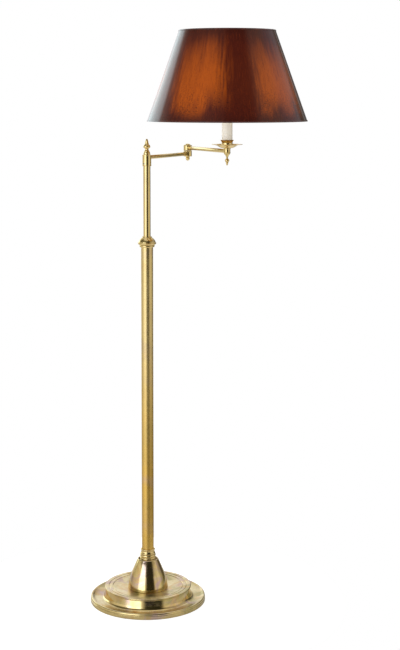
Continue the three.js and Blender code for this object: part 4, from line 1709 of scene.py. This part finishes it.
@dataclass
class CandleFitting:
    """The upright at the arm's end: hub, drop, pan, cup and card sleeve. Sizes are in millimetres.

    Attributes:
        sides: Steps round the turned pieces.
        bore: Radius of the hole for the threaded pipe.
        sheet: Thickness of the drip pan.
        wall: Thickness of the card sleeve.
    """

    sides: int = 96
    bore: float = 4.6
    sheet: float = 1.2
    wall: float = 1.3

    def build(self) -> None:
        """Build and dress every piece of the candle fitting."""
        seat = Seat.of("candle_sleeve")
        self.hub(seat)
        self.drop(seat)
        self.pan(seat)
        self.cup(seat)
        self.sleeve(seat)
        dress(ZINC, "candle_pipe")

    def place(
        self, name: str, node: str, outline: Outline, axis: Seat, finish: Finish, slot: Slot
    ) -> None:
        """Turn an outline on the fitting's axis.

        Args:
            name: The piece's name.
            node: The node that it replaces.
            outline: Its outline.
            axis: Seat that gives the axis.
            finish: Its finish.
            slot: Not used.
        """
        shape = moved(turn(outline, self.sides), axis.x, axis.y)
        make_piece(name, shape, finish, Body.SECOND_ARM, [node])

    def hub(self, axis: Seat) -> None:
        """Turn the hub that holds the outer arm's end.

        Args:
            axis: Seat that gives the axis.
        """
        seat = Seat.of("end_hub")
        foot, top = seat.bottom, seat.top
        outline = Outline(2.2, foot).line(2.7, foot, 0.1)
        outline.curve([(3.1, foot + 3.2), (4.4, foot + 5.4)], 6.2, foot + 7.0, 10)
        outline.curve([(7.9, foot + 8.6)], 8.0, foot + 10.6, 6, 0.15)
        outline.line(8.6, foot + 11.2, 0.2).line(8.7, foot + 12.6, 0.2).line(8.2, foot + 13.2, 0.15)
        outline.line(8.2, top - 2.4, 0.15).line(8.8, top - 1.8, 0.2).line(8.8, top, 0.2)
        outline.line(self.bore, top).line(self.bore, foot + 7).line(2.2, foot + 7)
        self.place("end_socket", "end_hub", outline, axis, CLEAN_BRASS, Slot.BRASS)

    def drop(self, axis: Seat) -> None:
        """Turn the drop finial under the hub.

        Args:
            axis: Seat that gives the axis.
        """
        seat = Seat.of("end_drop_finial")
        foot = seat.bottom
        neck = foot + 20.1
        outline = Outline(0, foot).curve([(1.3, foot), (1.9, foot + 1.4)], 2.1, foot + 3.0, 7)
        outline.curve([(2.6, foot + 5.4)], 3.2, foot + 6.4, 5, 0.1)
        outline.curve([(3.5, foot + 7.4)], 2.8, foot + 8.2, 5, 0.1)
        outline.curve([(4.0, foot + 9.2), (5.5, foot + 10.4)], 5.5, foot + 12.8, 8)
        outline.curve([(5.5, foot + 15.2), (3.9, foot + 16.2)], 3.0, foot + 17.0, 8, 0.1)
        outline.curve([(2.2, foot + 18.4)], 2.5, neck, 5)
        outline.line(1.8, neck).line(1.8, seat.top).line(0, seat.top)
        self.place("drop_finial", "end_drop_finial", outline, axis, CLEAN_BRASS, Slot.BRASS)

    def pan(self, axis: Seat) -> None:
        """Turn the thin drip pan with its flared rim.

        Args:
            axis: Seat that gives the axis.
        """
        seat = Seat.of("drip_pan")
        foot, top, rim, sheet = seat.bottom, seat.top, seat.radius, self.sheet
        outline = Outline(self.bore, foot).line(9.6, foot, 0.2)
        outline.curve([(15, foot + 0.2), (18.6, foot + 2.2)], 23, foot + 5.0, 12)
        outline.curve([(28, foot + 8.0), (33, foot + 8.6)], rim - 0.8, top - 1.5, 12)
        outline.curve([(rim, top - 1.4), (rim, top)], rim - 0.8, top - 0.1, 6)
        outline.curve([(33, top - 0.2), (27.4, foot + 9.2)], 22.4, foot + 5.0 + sheet, 12)
        outline.curve([(18, foot + 2.4 + sheet), (14.6, foot + 0.2 + sheet)], 9.6, foot + sheet, 12)
        outline.line(self.bore, foot + sheet)
        self.place("bobeche", "drip_pan", outline, axis, CLEAN_BRASS, Slot.BRASS)

    def cup(self, axis: Seat) -> None:
        """Turn the cup that the card sleeve stands in.

        Args:
            axis: Seat that gives the axis.
        """
        seat = Seat.of("candle_cup")
        foot, top = seat.bottom, seat.top
        outline = Outline(self.bore, foot).line(9.8, foot, 0.2)
        outline.curve([(13.8, foot + 0.8), (14.8, foot + 2.8)], 14.7, foot + 6.0, 9)
        outline.line(14.7, foot + 7.2, 0.15).line(14.1, foot + 7.8, 0.15)
        outline.curve([(13.4, foot + 12.6), (13.9, foot + 15.6)], 17.0, top - 0.8, 10)
        outline.curve([(17.6, top)], 16.6, top, 5)
        outline.curve([(15.0, top - 0.8)], 14.2, top - 3.0, 6).line(self.bore, top - 3.0)
        self.place("sleeve_cup", "candle_cup", outline, axis, CLEAN_BRASS, Slot.BRASS)

    def sleeve(self, axis: Seat) -> None:
        """Turn the cream card sleeve.

        Args:
            axis: Seat that gives the axis.
        """
        seat = Seat.of("candle_sleeve")
        inner = seat.radius - self.wall
        outline = Outline(inner, seat.bottom).line(seat.radius, seat.bottom, 0.2)
        outline.line(seat.radius, seat.top, 0.5).line(inner, seat.top, 0.3)
        centre = (axis.x * MM, axis.y * MM, seat.bottom * MM)
        finish = SleeveCard("sleeve_cream", centre)
        self.place("card_sleeve", "candle_sleeve", outline, axis, finish, Slot.SLEEVE)


@dataclass
class Lampholder:
    """The lampholder, its switch and the bulb. Sizes are in millimetres.

    Attributes:
        sides: Steps round the turned pieces.
        radius: Radius of the brass shell.
        bore: Radius of the hole for the threaded pipe.
        wall: Thickness of the brass shell.
        pitch: Distance between the turns of the bulb cap's thread.
        flats: Number of flats milled round the clamp ring.
        flat_area: Area in square millimetres above which one of its faces is such a flat.
        glass: Thickness of the bulb's glass.
        paddle: Half of the switch paddle's thickness.
    """

    sides: int = 80
    radius: float = 19.5
    bore: float = 4.6
    wall: float = 1.4
    pitch: float = 3.6
    flats: int = 72
    flat_area: float = 1.0
    glass: float = 1.0
    paddle: float = 2.2

    def build(self) -> None:
        """Build and dress the lampholder and the bulb."""
        axis = Seat.of("candle_sleeve")
        self.cap(axis)
        self.shell(axis)
        self.core(axis)
        self.clamp_ring(axis)
        self.bulb(axis)
        self.knob(axis)
        dress(BROWN_PLASTIC, "switch_body")
        dress(CLEAN_BRASS, "centre_contact")

    def place(
        self, name: str, shape: bmesh.types.BMesh, axis: Seat, finish: Finish, slot: Slot, node: str
    ) -> None:
        """Put a turned shape on the lampholder's axis.

        Args:
            name: The piece's name.
            shape: Its shape about the Z axis.
            axis: Seat that gives the axis.
            finish: Its finish.
            slot: Not used.
            node: The node that it replaces.
        """
        make_piece(name, moved(shape, axis.x, axis.y), finish, Body.SECOND_ARM, [node])

    def cap(self, axis: Seat) -> None:
        """Turn the domed cap under the shell.

        Args:
            axis: Seat that gives the axis.
        """
        seat = Seat.of("lampholder_cap")
        foot, top, r = seat.bottom, seat.top, self.radius
        outline = Outline(self.bore, foot).line(13.6, foot, 0.3)
        outline.curve([(18.2, foot + 1.4), (r, foot + 4.6)], r, foot + 9.4, 12)
        outline.line(r, top, 0.3).line(r - self.wall, top).line(r - self.wall, foot + 9)
        outline.curve([(r - self.wall, foot + 3)], 13, foot + 2.7, 8)
        outline.line(self.bore, foot + 2.7)
        shape = turn(outline, self.sides)
        self.place("holder_cap", shape, axis, CLEAN_BRASS, Slot.BRASS, "lampholder_cap")

    def shell(self, axis: Seat) -> None:
        """Turn the outer shell, with its bead and the shoulder for the shade carrier.

        Args:
            axis: Seat that gives the axis.
        """
        seat = Seat.of("lampholder_shell")
        foot, top, r, flare = seat.bottom, seat.top, self.radius, seat.radius
        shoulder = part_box("shade_carrier")[0].z / MM - 0.3
        outline = Outline(r - self.wall, foot).line(r, foot, 0.3)
        outline.line(r, shoulder - 3.6, 0.8).line(flare, shoulder - 2.4, 0.6)
        outline.line(flare, shoulder, 0.4).line(r, shoulder, 0.2)
        outline.line(r, top - 2.4, 0.2).curve([(r + 0.6, top - 1.4)], r, top - 0.3, 6)
        outline.line(r - self.wall, top, 0.3)
        shape = turn(outline, self.sides)
        self.place("holder_shell", shape, axis, CLEAN_BRASS, Slot.BRASS, "lampholder_shell")

    def core(self, axis: Seat) -> None:
        """Turn the porcelain core.

        Args:
            axis: Seat that gives the axis.
        """
        seat = Seat.of("lampholder_core")
        foot, top, r = seat.bottom, seat.top, seat.radius
        outline = Outline(0, foot).line(r, foot, 0.4).line(r, top, 0.8)
        outline.line(r - 4, top, 0.8).line(r - 4, foot + 2.2, 0.6).line(0, foot + 2.2)
        shape = turn(outline, self.sides)
        node = "lampholder_core"
        self.place("holder_core", shape, axis, GLAZED_PORCELAIN, Slot.PORCELAIN, node)

    def clamp_ring(self, axis: Seat) -> None:
        """Turn the ring that clamps the shade carrier and mill its grip.

        Args:
            axis: Seat that gives the axis.
        """
        seat = Seat.of("shade_clamp_ring")
        foot, top, r = seat.bottom, seat.top, seat.radius
        inner = self.radius + 0.3
        outline = Outline(inner, foot).line(r, foot, 0.3).line(r, top, 0.3).line(inner, top, 0.3)
        shape = turn(outline, self.flats)
        grip = [
            face
            for face in shape.faces
            if face.calc_center_median().xy.length > (r - 0.3) * MM
            and face.calc_area() > self.flat_area * MM**2
        ]
        bmesh.ops.inset_individual(shape, faces=grip, thickness=0.3 * MM, depth=-0.35 * MM)
        self.place("carrier_ring_nut", shape, axis, CLEAN_BRASS, Slot.BRASS, "shade_clamp_ring")

    def bulb(self, axis: Seat) -> None:
        """Turn the bulb's threaded cap and its opal glass.

        Args:
            axis: Seat that gives the axis.
        """
        seat = Seat.of("bulb_cap")
        foot, top, r = seat.bottom, seat.top, seat.radius
        outline = Outline(0, foot).line(3.8, foot, 0.6).line(4.4, foot + 1.4, 0.3)
        outline.line(11.4, foot + 4.2, 0.6)
        turns = int((top - foot - 7.5) / self.pitch)
        for index in range(turns):
            low = foot + 5 + index * self.pitch
            crest = [(r + 0.3, low + 0.2), (r + 0.3, low + self.pitch - 0.9)]
            outline.curve(crest, 12.1, low + self.pitch - 0.4, 6)
        outline.line(12.2, top, 0.4).line(0, top)
        self.place("bulb_screw_cap", turn(outline, self.sides), axis, ZINC, Slot.STEEL, "bulb_cap")
        seat = Seat.of("bulb_glass")
        foot, top, widest, glass = seat.bottom, seat.top, seat.radius, self.glass
        middle = top - widest - 2
        outline = Outline(10.8, foot).line(11.7, foot, 0.2)
        outline.curve([(12.4, foot + 22), (widest, middle - 22)], widest, middle, 18)
        outline.curve([(widest, top - 11), (16.8, top)], 0, top, 16)
        outline.line(0, top - glass)
        outline.curve([(16, top - glass), (widest - glass, top - 12)], widest - glass, middle, 14)
        outline.curve([(widest - glass, middle - 21), (11.4, foot + 22)], 10.8, foot + 0.2, 14)
        self.place("opal_bulb", turn(outline, self.sides), axis, OPAL_GLASS, Slot.BULB, "bulb_glass")

    def knob(self, axis: Seat) -> None:
        """Turn the switch's paddle knob and flatten its two sides.

        Args:
            axis: Seat that gives the axis.
        """
        low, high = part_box("switch_knob")
        near, far = low.x / MM - axis.x, high.x / MM - axis.x
        outline = Outline(0, near).line(2.0, near, 0.2).line(2.0, far - 14.4, 0.3)
        outline.line(4.4, far - 14, 0.5).curve([(6.2, far - 13)], 6.2, far - 9.6, 6)
        outline.curve([(6.2, far - 2.4), (5.0, far)], 0, far, 10)
        shape = turn(outline, 48)
        bmesh.ops.rotate(shape, verts=shape.verts, matrix=Matrix.Rotation(math.pi / 2, 3, "Y"))
        paddle = self.paddle * MM
        for vert in shape.verts:
            if vert.co.x > (far - 12) * MM:
                vert.co.y = max(-paddle, min(paddle, vert.co.y))
        moved(shape, axis.x, axis.y, (low.z + high.z) / 2 / MM)
        make_piece(
            "switch_paddle", shape, BROWN_PLASTIC, Body.SWITCH, ["switch_knob"]
        )


# ---------- shade ----------


@dataclass
class Shade:
    """The tapered shade, its wires and its carrier. Sizes are in millimetres.

    Attributes:
        sides: Steps round the shade.
        card: Thickness of the lacquered card.
        gap: Space between two layers.
        tape: Height of the binding along each edge.
        lap: Width in degrees of the glued lap at the back.
        trim: How far the top binding stands out from the card.
        uprights: Number of the carrier's bowed wires.
        arms: Number of the spider's arms.
        spider_wire: Radius of the spider's wire.
        carrier_wire: Radius of the carrier's wire.
    """

    sides: int = 192
    card: float = 1.1
    gap: float = 0.3
    tape: float = 3.6
    lap: float = 3.6
    trim: float = 0.8
    uprights: int = 4
    arms: int = 3
    spider_wire: float = 1.6
    carrier_wire: float = 1.5

    @property
    def seat(self) -> Seat:
        """Seat of the card."""
        return Seat.of("shade_skin")

    @property
    def slope(self) -> float:
        """Change of the card's radius in a millimetre of height."""
        rim = Seat.of("shade_top_trim").radius - self.trim
        return (rim - self.seat.radius) / self.seat.height

    def build(self) -> None:
        """Build and dress every piece of the shade."""
        self.skin()
        self.lining()
        self.bindings()
        self.wires()
        self.carrier()

    def radius(self, height: float) -> float:
        """Return the outer radius of the card at a height."""
        return self.seat.radius + self.slope * (height - self.seat.bottom)

    def layer(
        self, low: float, high: float, inset: float, wall: float, soften: float = 0.2
    ) -> Outline:
        """Draw a band that follows the shade's taper.

        Args:
            low: Height of its lower edge.
            high: Height of its upper edge.
            inset: Depth of its outer face under the card's outer face.
            wall: Its thickness.
            soften: Rounding of its corners.

        Returns:
            The band's outline.
        """
        outer_low, outer_high = self.radius(low) - inset, self.radius(high) - inset
        outline = Outline((outer_low + outer_high) / 2 - wall, (low + high) / 2)
        outline.line(outer_low - wall, low, soften).line(outer_low, low, soften)
        for share in (0.2, 0.4, 0.6, 0.8):
            height = low + share * (high - low)
            outline.line(self.radius(height) - inset, height)
        return outline.line(outer_high, high, soften).line(outer_high - wall, high, soften)

    def place(
        self,
        name: str,
        shape: bmesh.types.BMesh,
        finish: Finish,
        slot: Slot,
        nodes: Sequence[str] = (),
    ) -> None:
        """Put a shape on the shade's axis.

        Args:
            name: The piece's name.
            shape: Its shape about the Z axis.
            finish: Its finish.
            slot: Not used.
            nodes: The nodes that it replaces.
        """
        moved(shape, self.seat.x, self.seat.y)
        make_piece(name, shape, finish, Body.SECOND_ARM, nodes)

    def skin(self) -> None:
        """Turn the lacquered card and the lap that closes it at the back."""
        low, high = self.seat.bottom, self.seat.top
        centre = (self.seat.x * MM, self.seat.y * MM, self.seat.middle * MM)
        finish = ShadeLacquer("shade_lacquer", centre, self.seat.height * MM)
        skin = turn(self.layer(low, high, 0.0, self.card), self.sides)
        self.place("shade_card", skin, finish, Slot.LACQUER, ["shade_skin"])
        width = math.radians(self.lap)
        lap = turn(
            self.layer(low + self.tape, high - self.tape, -0.35, 0.3, 0.1),
            6,
            width,
            math.pi / 2 - width / 2,
        )
        self.place("shade_lap", lap, finish, Slot.LACQUER)

    def lining(self) -> None:
        """Turn the gold foil inside the card."""
        low, high = self.seat.bottom + 0.3, self.seat.top - 0.3
        band = turn(self.layer(low, high, self.card + self.gap, 0.5), self.sides)
        finish = GoldFoil("gold_foil", (self.seat.x * MM, self.seat.y * MM, low * MM))
        self.place("shade_foil_lining", band, finish, Slot.FOIL, ["shade_lining"])

    def bindings(self) -> None:
        """Turn the tapes that bind both edges."""
        low, high = self.seat.bottom, self.seat.top
        upper = turn(self.layer(high - self.tape, high, -0.7, 0.5, 0.25), self.sides)
        self.place("binding_top", upper, BINDING_TAPE, Slot.BINDING, ["shade_top_trim"])
        lower = turn(self.layer(low, low + self.tape, -0.7, 0.5, 0.25), self.sides)
        self.place("binding_bottom", lower, BINDING_TAPE, Slot.BINDING, ["shade_bottom_trim"])

    def wires(self) -> None:
        """Bend the bottom ring and the spider with its arms."""
        seat = Seat.of("shade_bottom_ring")
        ring = Outline(seat.radius, seat.middle)
        ring.ring(seat.radius - seat.height / 2, seat.middle)
        self.place("bottom_ring", turn(ring, 160), DRAWN_BRASS, Slot.BRASS, ["shade_bottom_ring"])
        spider = Seat.of("shade_spider")
        thick = self.spider_wire
        hoop_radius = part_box("shade_top_trim")[1].x / MM - self.seat.x - 6.6
        level = spider.top - thick
        hoop = Outline(hoop_radius + thick, level).ring(hoop_radius, level)
        washer = Outline(46, spider.bottom).line(55, spider.bottom, 0.3)
        washer.line(55, spider.bottom + 1.6, 0.3).line(46, spider.bottom + 1.6, 0.3)
        route = (
            (53, spider.bottom + 0.8),
            (68, spider.bottom + 3),
            (100, level - 7),
            (hoop_radius, level),
        )
        arms = spokes(route, thick, self.arms)
        shape = joined([turn(washer, 96), turn(hoop, 128), *arms])
        self.place("spider", shape, DRAWN_BRASS, Slot.BRASS, ["shade_spider"])

    def carrier(self) -> None:
        """Bend the carrier that stands on the lampholder."""
        seat = Seat.of("shade_carrier")
        thick = self.carrier_wire
        foot = seat.bottom
        ring_radius = seat.radius - thick
        level = seat.top - thick
        washer = Outline(20, foot).line(26, foot, 0.3).line(26, foot + 2.8, 0.3)
        washer.line(20, foot + 2.8, 0.3)
        ring = Outline(ring_radius + thick, level).ring(ring_radius, level)
        route = (
            (24.6, foot + 1.4),
            (34, foot + 8),
            (39, foot + 34.2),
            (44, foot + 74.2),
            (ring_radius, level),
        )
        bows = spokes(route, thick, self.uprights, 0.5)
        shape = joined([turn(washer, 72), turn(ring, 96), *bows])
        self.place("carrier", shape, DRAWN_BRASS, Slot.BRASS, ["shade_carrier"])


# ---------- studio ----------


def share_of_turn(bearing: float) -> float:
    """Say where a bearing in degrees, 0 towards the camera, lies from 0 to 1 round the lamp."""
    return bearing / 360 + 0.5


@dataclass(frozen=True)
class Panel:
    """A softbox, or a dark gap between softboxes, far from the lamp.

    Attributes:
        bearings: Bearings in degrees of its two sides.
        heights: Sines of the elevations of its lower and upper edge.
        tone: Its colour and brightness.
        blur: Softness of its sides, as a share of a turn.
        feather: Softness of its upper and lower edge, as a sine.
    """

    bearings: tuple[float, float]
    heights: tuple[float, float]
    tone: Colour
    blur: float
    feather: float = 0.06

    def add(
        self,
        graph: Graph,
        behind: bpy.types.NodeSocket,
        share: bpy.types.NodeSocket,
        z: bpy.types.NodeSocket,
    ) -> bpy.types.NodeSocket:
        """Lay the panel over what is behind it.

        Args:
            graph: The world's graph.
            behind: Colour of what is behind it.
            share: Bearing as a share of the turn.
            z: Sine of the elevation.

        Returns:
            The new colour.
        """
        left, right = (share_of_turn(bearing) for bearing in self.bearings)
        low, high = self.heights
        sides = graph.math(
            "MULTIPLY",
            graph.spread(share, left, left + self.blur),
            graph.spread(share, right, right - self.blur),
        )
        ends = graph.math(
            "MULTIPLY",
            graph.spread(z, low, low + self.feather),
            graph.spread(z, high, high - self.feather),
        )
        mask = graph.math("MULTIPLY", sides, ends)
        return graph.mix(mask, behind, self.tone)


@dataclass
class Studio:
    """The floor, the camera and the soft light round the lamp. Sizes are in metres.

    Attributes:
        floor_radius: Radius of the round pale floor.
        felt_cover: How far the felt covers the edge of the opening under it.
        paper: The floor's two close shades.
        paper_glow: Glow that lifts the paper to white where it is looked at.
        lens: Focal length in millimetres on a 36 mm sensor.
        camera_place: Where the camera stands.
        tilt: Angle in degrees by which it looks down.
        lens_shift: Rise of the lens, as a share of the picture's height.
        ground_tones: Brightness of the ground by bearing in degrees, 0 towards the camera.
        level_tones: The same for the panels at eye level.
        high_tones: The same for the panels overhead.
        panels: Softboxes and dark gaps between them.
        nadir: Tone straight below.
        zenith: Tone straight above.
        steep: Sines of the elevation between which the ground fades into the nadir's tone.
        horizon: The same for the ground and the panels at eye level.
        rise: The same for the panels at eye level and those overhead.
        crown: The same for the panels overhead and the zenith.
        room_light: Light that matt surfaces get from the left and from the right.
        overhead_place: Where the light over the lamp hangs.
        overhead_size: Its diameter.
        overhead_power: Its power in watts.
    """

    floor_radius: float = 0.5
    felt_cover: float = 0.006
    paper: tuple[Colour, Colour] = ((0.47, 0.47, 0.46), (0.43, 0.43, 0.42))
    paper_glow: float = 0.72
    lens: float = 77.54
    camera_place: tuple[float, float, float] = (0.1334, -3.509, 1.2956)
    tilt: float = 4.167
    lens_shift: float = -0.2
    ground_tones: tuple[tuple[float, float], ...] = (
        (-180, 0.50),
        (-110, 0.65),
        (-78, 0.92),
        (-55, 0.95),
        (-30, 0.75),
        (0, 0.52),
        (45, 0.30),
        (95, 0.17),
        (140, 0.35),
        (180, 0.50),
    )
    level_tones: tuple[tuple[float, float], ...] = (
        (-180, 1.15),
        (-150, 1.00),
        (-123, 0.42),
        (-92, 0.70),
        (-65, 0.92),
        (-50, 1.45),
        (-22, 1.45),
        (-11, 0.55),
        (-5, 0.14),
        (38, 0.14),
        (48, 0.74),
        (84, 0.80),
        (108, 0.45),
        (122, 0.12),
        (145, 0.12),
        (160, 1.00),
        (180, 1.15),
    )
    high_tones: tuple[tuple[float, float], ...] = (
        (-180, 0.90),
        (-140, 0.75),
        (-105, 0.12),
        (-62, 0.20),
        (-34, 0.22),
        (-12, 0.15),
        (40, 0.05),
        (60, 0.42),
        (100, 0.50),
        (150, 0.75),
        (180, 0.90),
    )
    panels: tuple[Panel, ...] = (
        Panel((-163, -116), (0.04, 0.38), (1.75, 2.05, 2.1), 0.022),
        Panel((-58, -13), (-0.06, 0.50), (2.2, 2.45, 2.8), 0.020),
        Panel((-8, 40), (-0.26, 0.72), (0.03, 0.03, 0.02), 0.012),
        Panel((84, 146), (0.20, 0.62), (0.45, 0.45, 0.48), 0.050),
        Panel((150, 172), (-0.15, 0.40), (0.12, 0.12, 0.11), 0.012),
    )
    nadir: Colour = (0.85, 0.84, 0.80)
    zenith: Colour = (0.9, 0.9, 0.92)
    steep: tuple[float, float] = (-0.40, -0.60)
    horizon: tuple[float, float] = (-0.26, -0.19)
    rise: tuple[float, float] = (0.32, 0.44)
    crown: tuple[float, float] = (0.80, 0.95)
    room_light: tuple[float, float] = (1.75, 0.82)
    overhead_place: tuple[float, float, float] = (-0.3, -0.6, 3.6)
    overhead_size: float = 2.4
    overhead_power: float = 14.0

    def build(self) -> None:
        """Set up the whole studio."""
        self.floor()
        self.camera()
        self.surroundings()
        self.lights()
        bpy.context.scene.view_settings.view_transform = "Standard"

    def floor(self) -> None:
        """Lay the round floor, open under the felt so that the lamp's underside can be seen."""
        opening = Seat.of("base_felt").radius * MM - self.felt_cover
        shape = bmesh.new()
        for radius in (self.floor_radius, opening):
            bmesh.ops.create_circle(shape, segments=96, radius=radius)
        bmesh.ops.bridge_loops(shape, edges=shape.edges)
        bmesh.ops.recalc_face_normals(shape, faces=shape.faces)
        if sum(face.normal.z for face in shape.faces) < 0:
            bmesh.ops.reverse_faces(shape, faces=shape.faces)
        floor = mesh_object("studio_floor", shape)
        floor.data.materials.append(self.floor_paper())

    def floor_paper(self) -> bpy.types.Material:
        """Make pale paper that glows a little, so that no edge shows, and is clear from below.

        Returns:
            The material.
        """
        material = bpy.data.materials.new("studio_paper")
        material.use_nodes = True
        graph = Graph(material.node_tree)
        shader = material.node_tree.nodes["Principled BSDF"]
        output = material.node_tree.nodes["Material Output"]
        fibre = graph.noise(graph.add("TexCoord").outputs["Object"], 60.0)
        tint = graph.mix(graph.spread(fibre, 0.3, 0.7), *self.paper)
        graph.feed(shader.inputs["Base Color"], tint)
        shader.inputs["Roughness"].default_value = 0.9
        shader.inputs["Emission Color"].default_value = (1, 1, 1, 1)
        seen = graph.add("LightPath").outputs["Is Camera Ray"]
        glow = graph.math("MULTIPLY", seen, self.paper_glow)
        graph.feed(shader.inputs["Emission Strength"], glow)
        blend = graph.add("MixShader")
        graph.feed(blend.inputs[0], graph.add("NewGeometry").outputs["Backfacing"])
        graph.feed(blend.inputs[1], shader.outputs[0])
        graph.feed(blend.inputs[2], graph.add("BsdfTransparent").outputs[0])
        graph.feed(output.inputs["Surface"], blend.outputs[0])
        return material

    def camera(self) -> None:
        """Place the camera."""
        data = bpy.data.cameras.new("view")
        data.lens = self.lens
        data.shift_y = self.lens_shift
        camera = bpy.data.objects.new("view", data)
        camera.location = self.camera_place
        camera.rotation_euler = (math.radians(90 - self.tilt), 0, 0)
        bpy.context.scene.collection.objects.link(camera)
        bpy.context.scene.camera = camera

    def surroundings(self) -> None:
        """Paint the studio round the lamp: bright panels, dark gaps and a white backdrop."""
        world = bpy.data.worlds.new("studio")
        bpy.context.scene.world = world
        world.use_nodes = True
        graph = Graph(world.node_tree)
        background = world.node_tree.nodes["Background"]
        separate = graph.add("SeparateXYZ")
        graph.feed(separate.inputs[0], graph.add("TexCoord").outputs["Generated"])
        x, y, z = separate.outputs
        bearing = graph.math("ARCTAN2", x, graph.math("MULTIPLY", y, -1.0))
        share = graph.math("ADD", graph.math("MULTIPLY", bearing, 0.5 / math.pi), 0.5)
        ground = self.panorama(graph, share, self.ground_tones)
        level = self.panorama(graph, share, self.level_tones)
        high = self.panorama(graph, share, self.high_tones)
        ground = graph.mix(graph.spread(z, *self.steep), ground, self.nadir)
        tone = graph.mix(graph.spread(z, *self.horizon), ground, level)
        tone = graph.mix(graph.spread(z, *self.rise), tone, high)
        for panel in self.panels:
            tone = panel.add(graph, tone, share, z)
        tone = graph.mix(graph.spread(z, *self.crown), tone, self.zenith)
        path = graph.add("LightPath")
        soft = graph.spread(x, -1.0, 1.0, *self.room_light)
        tone = graph.mix(path.outputs["Is Diffuse Ray"], tone, soft)
        tone = graph.mix(path.outputs["Is Camera Ray"], tone, (1.0, 1.0, 1.0))
        graph.feed(background.inputs["Color"], tone)
        background.inputs["Strength"].default_value = 1.0

    def panorama(
        self, graph: Graph, share: bpy.types.NodeSocket, tones: Sequence[tuple[float, float]]
    ) -> bpy.types.NodeSocket:
        """Add a ramp of brightness round the lamp.

        Args:
            graph: The world's graph.
            share: Bearing as a share of the turn, 0.5 towards the camera.
            tones: Bearings in degrees with their brightness.

        Returns:
            The ramp's colour.
        """
        node = graph.add("ValToRGB")
        graph.feed(node.inputs[0], share)
        ramp = node.color_ramp
        ramp.interpolation = "EASE"
        while len(ramp.elements) < len(tones):
            ramp.elements.new(0.5)
        for element, (bearing, _) in zip(ramp.elements, tones):
            element.position = share_of_turn(bearing)
        for element, (_, tone) in zip(ramp.elements, tones):
            # The dimmer, the warmer.
            element.color = (tone, tone * (0.93 + 0.07 * tone), tone * (0.62 + 0.38 * tone), 1)
        return node.outputs[0]

    def lights(self) -> None:
        """Hang one broad soft light over the lamp."""
        data = bpy.data.lights.new("overhead", "AREA")
        data.shape = "DISK"
        data.size = self.overhead_size
        data.energy = self.overhead_power
        light = bpy.data.objects.new("overhead", data)
        light.location = self.overhead_place
        aim = Vector((0, 0, 0.3)) - light.location
        light.rotation_euler = aim.to_track_quat("-Z", "Y").to_euler()
        light.visible_camera = False
        light.visible_glossy = False
        bpy.context.scene.collection.objects.link(light)


def main() -> None:
    """Build the lamp from the floor up, then the studio."""
    logging.basicConfig(level=logging.INFO, format="%(name)s %(message)s")
    for part in (
        WeightedBase(),
        Column(),
        LockingCollar(),
        Riser(),
        SwingArm(),
        CandleFitting(),
        Lampholder(),
        Shade(),
        Studio(),
    ):
        part.build()
        log.info("built %s", type(part).__name__)


if __name__ == "__main__":
    main()
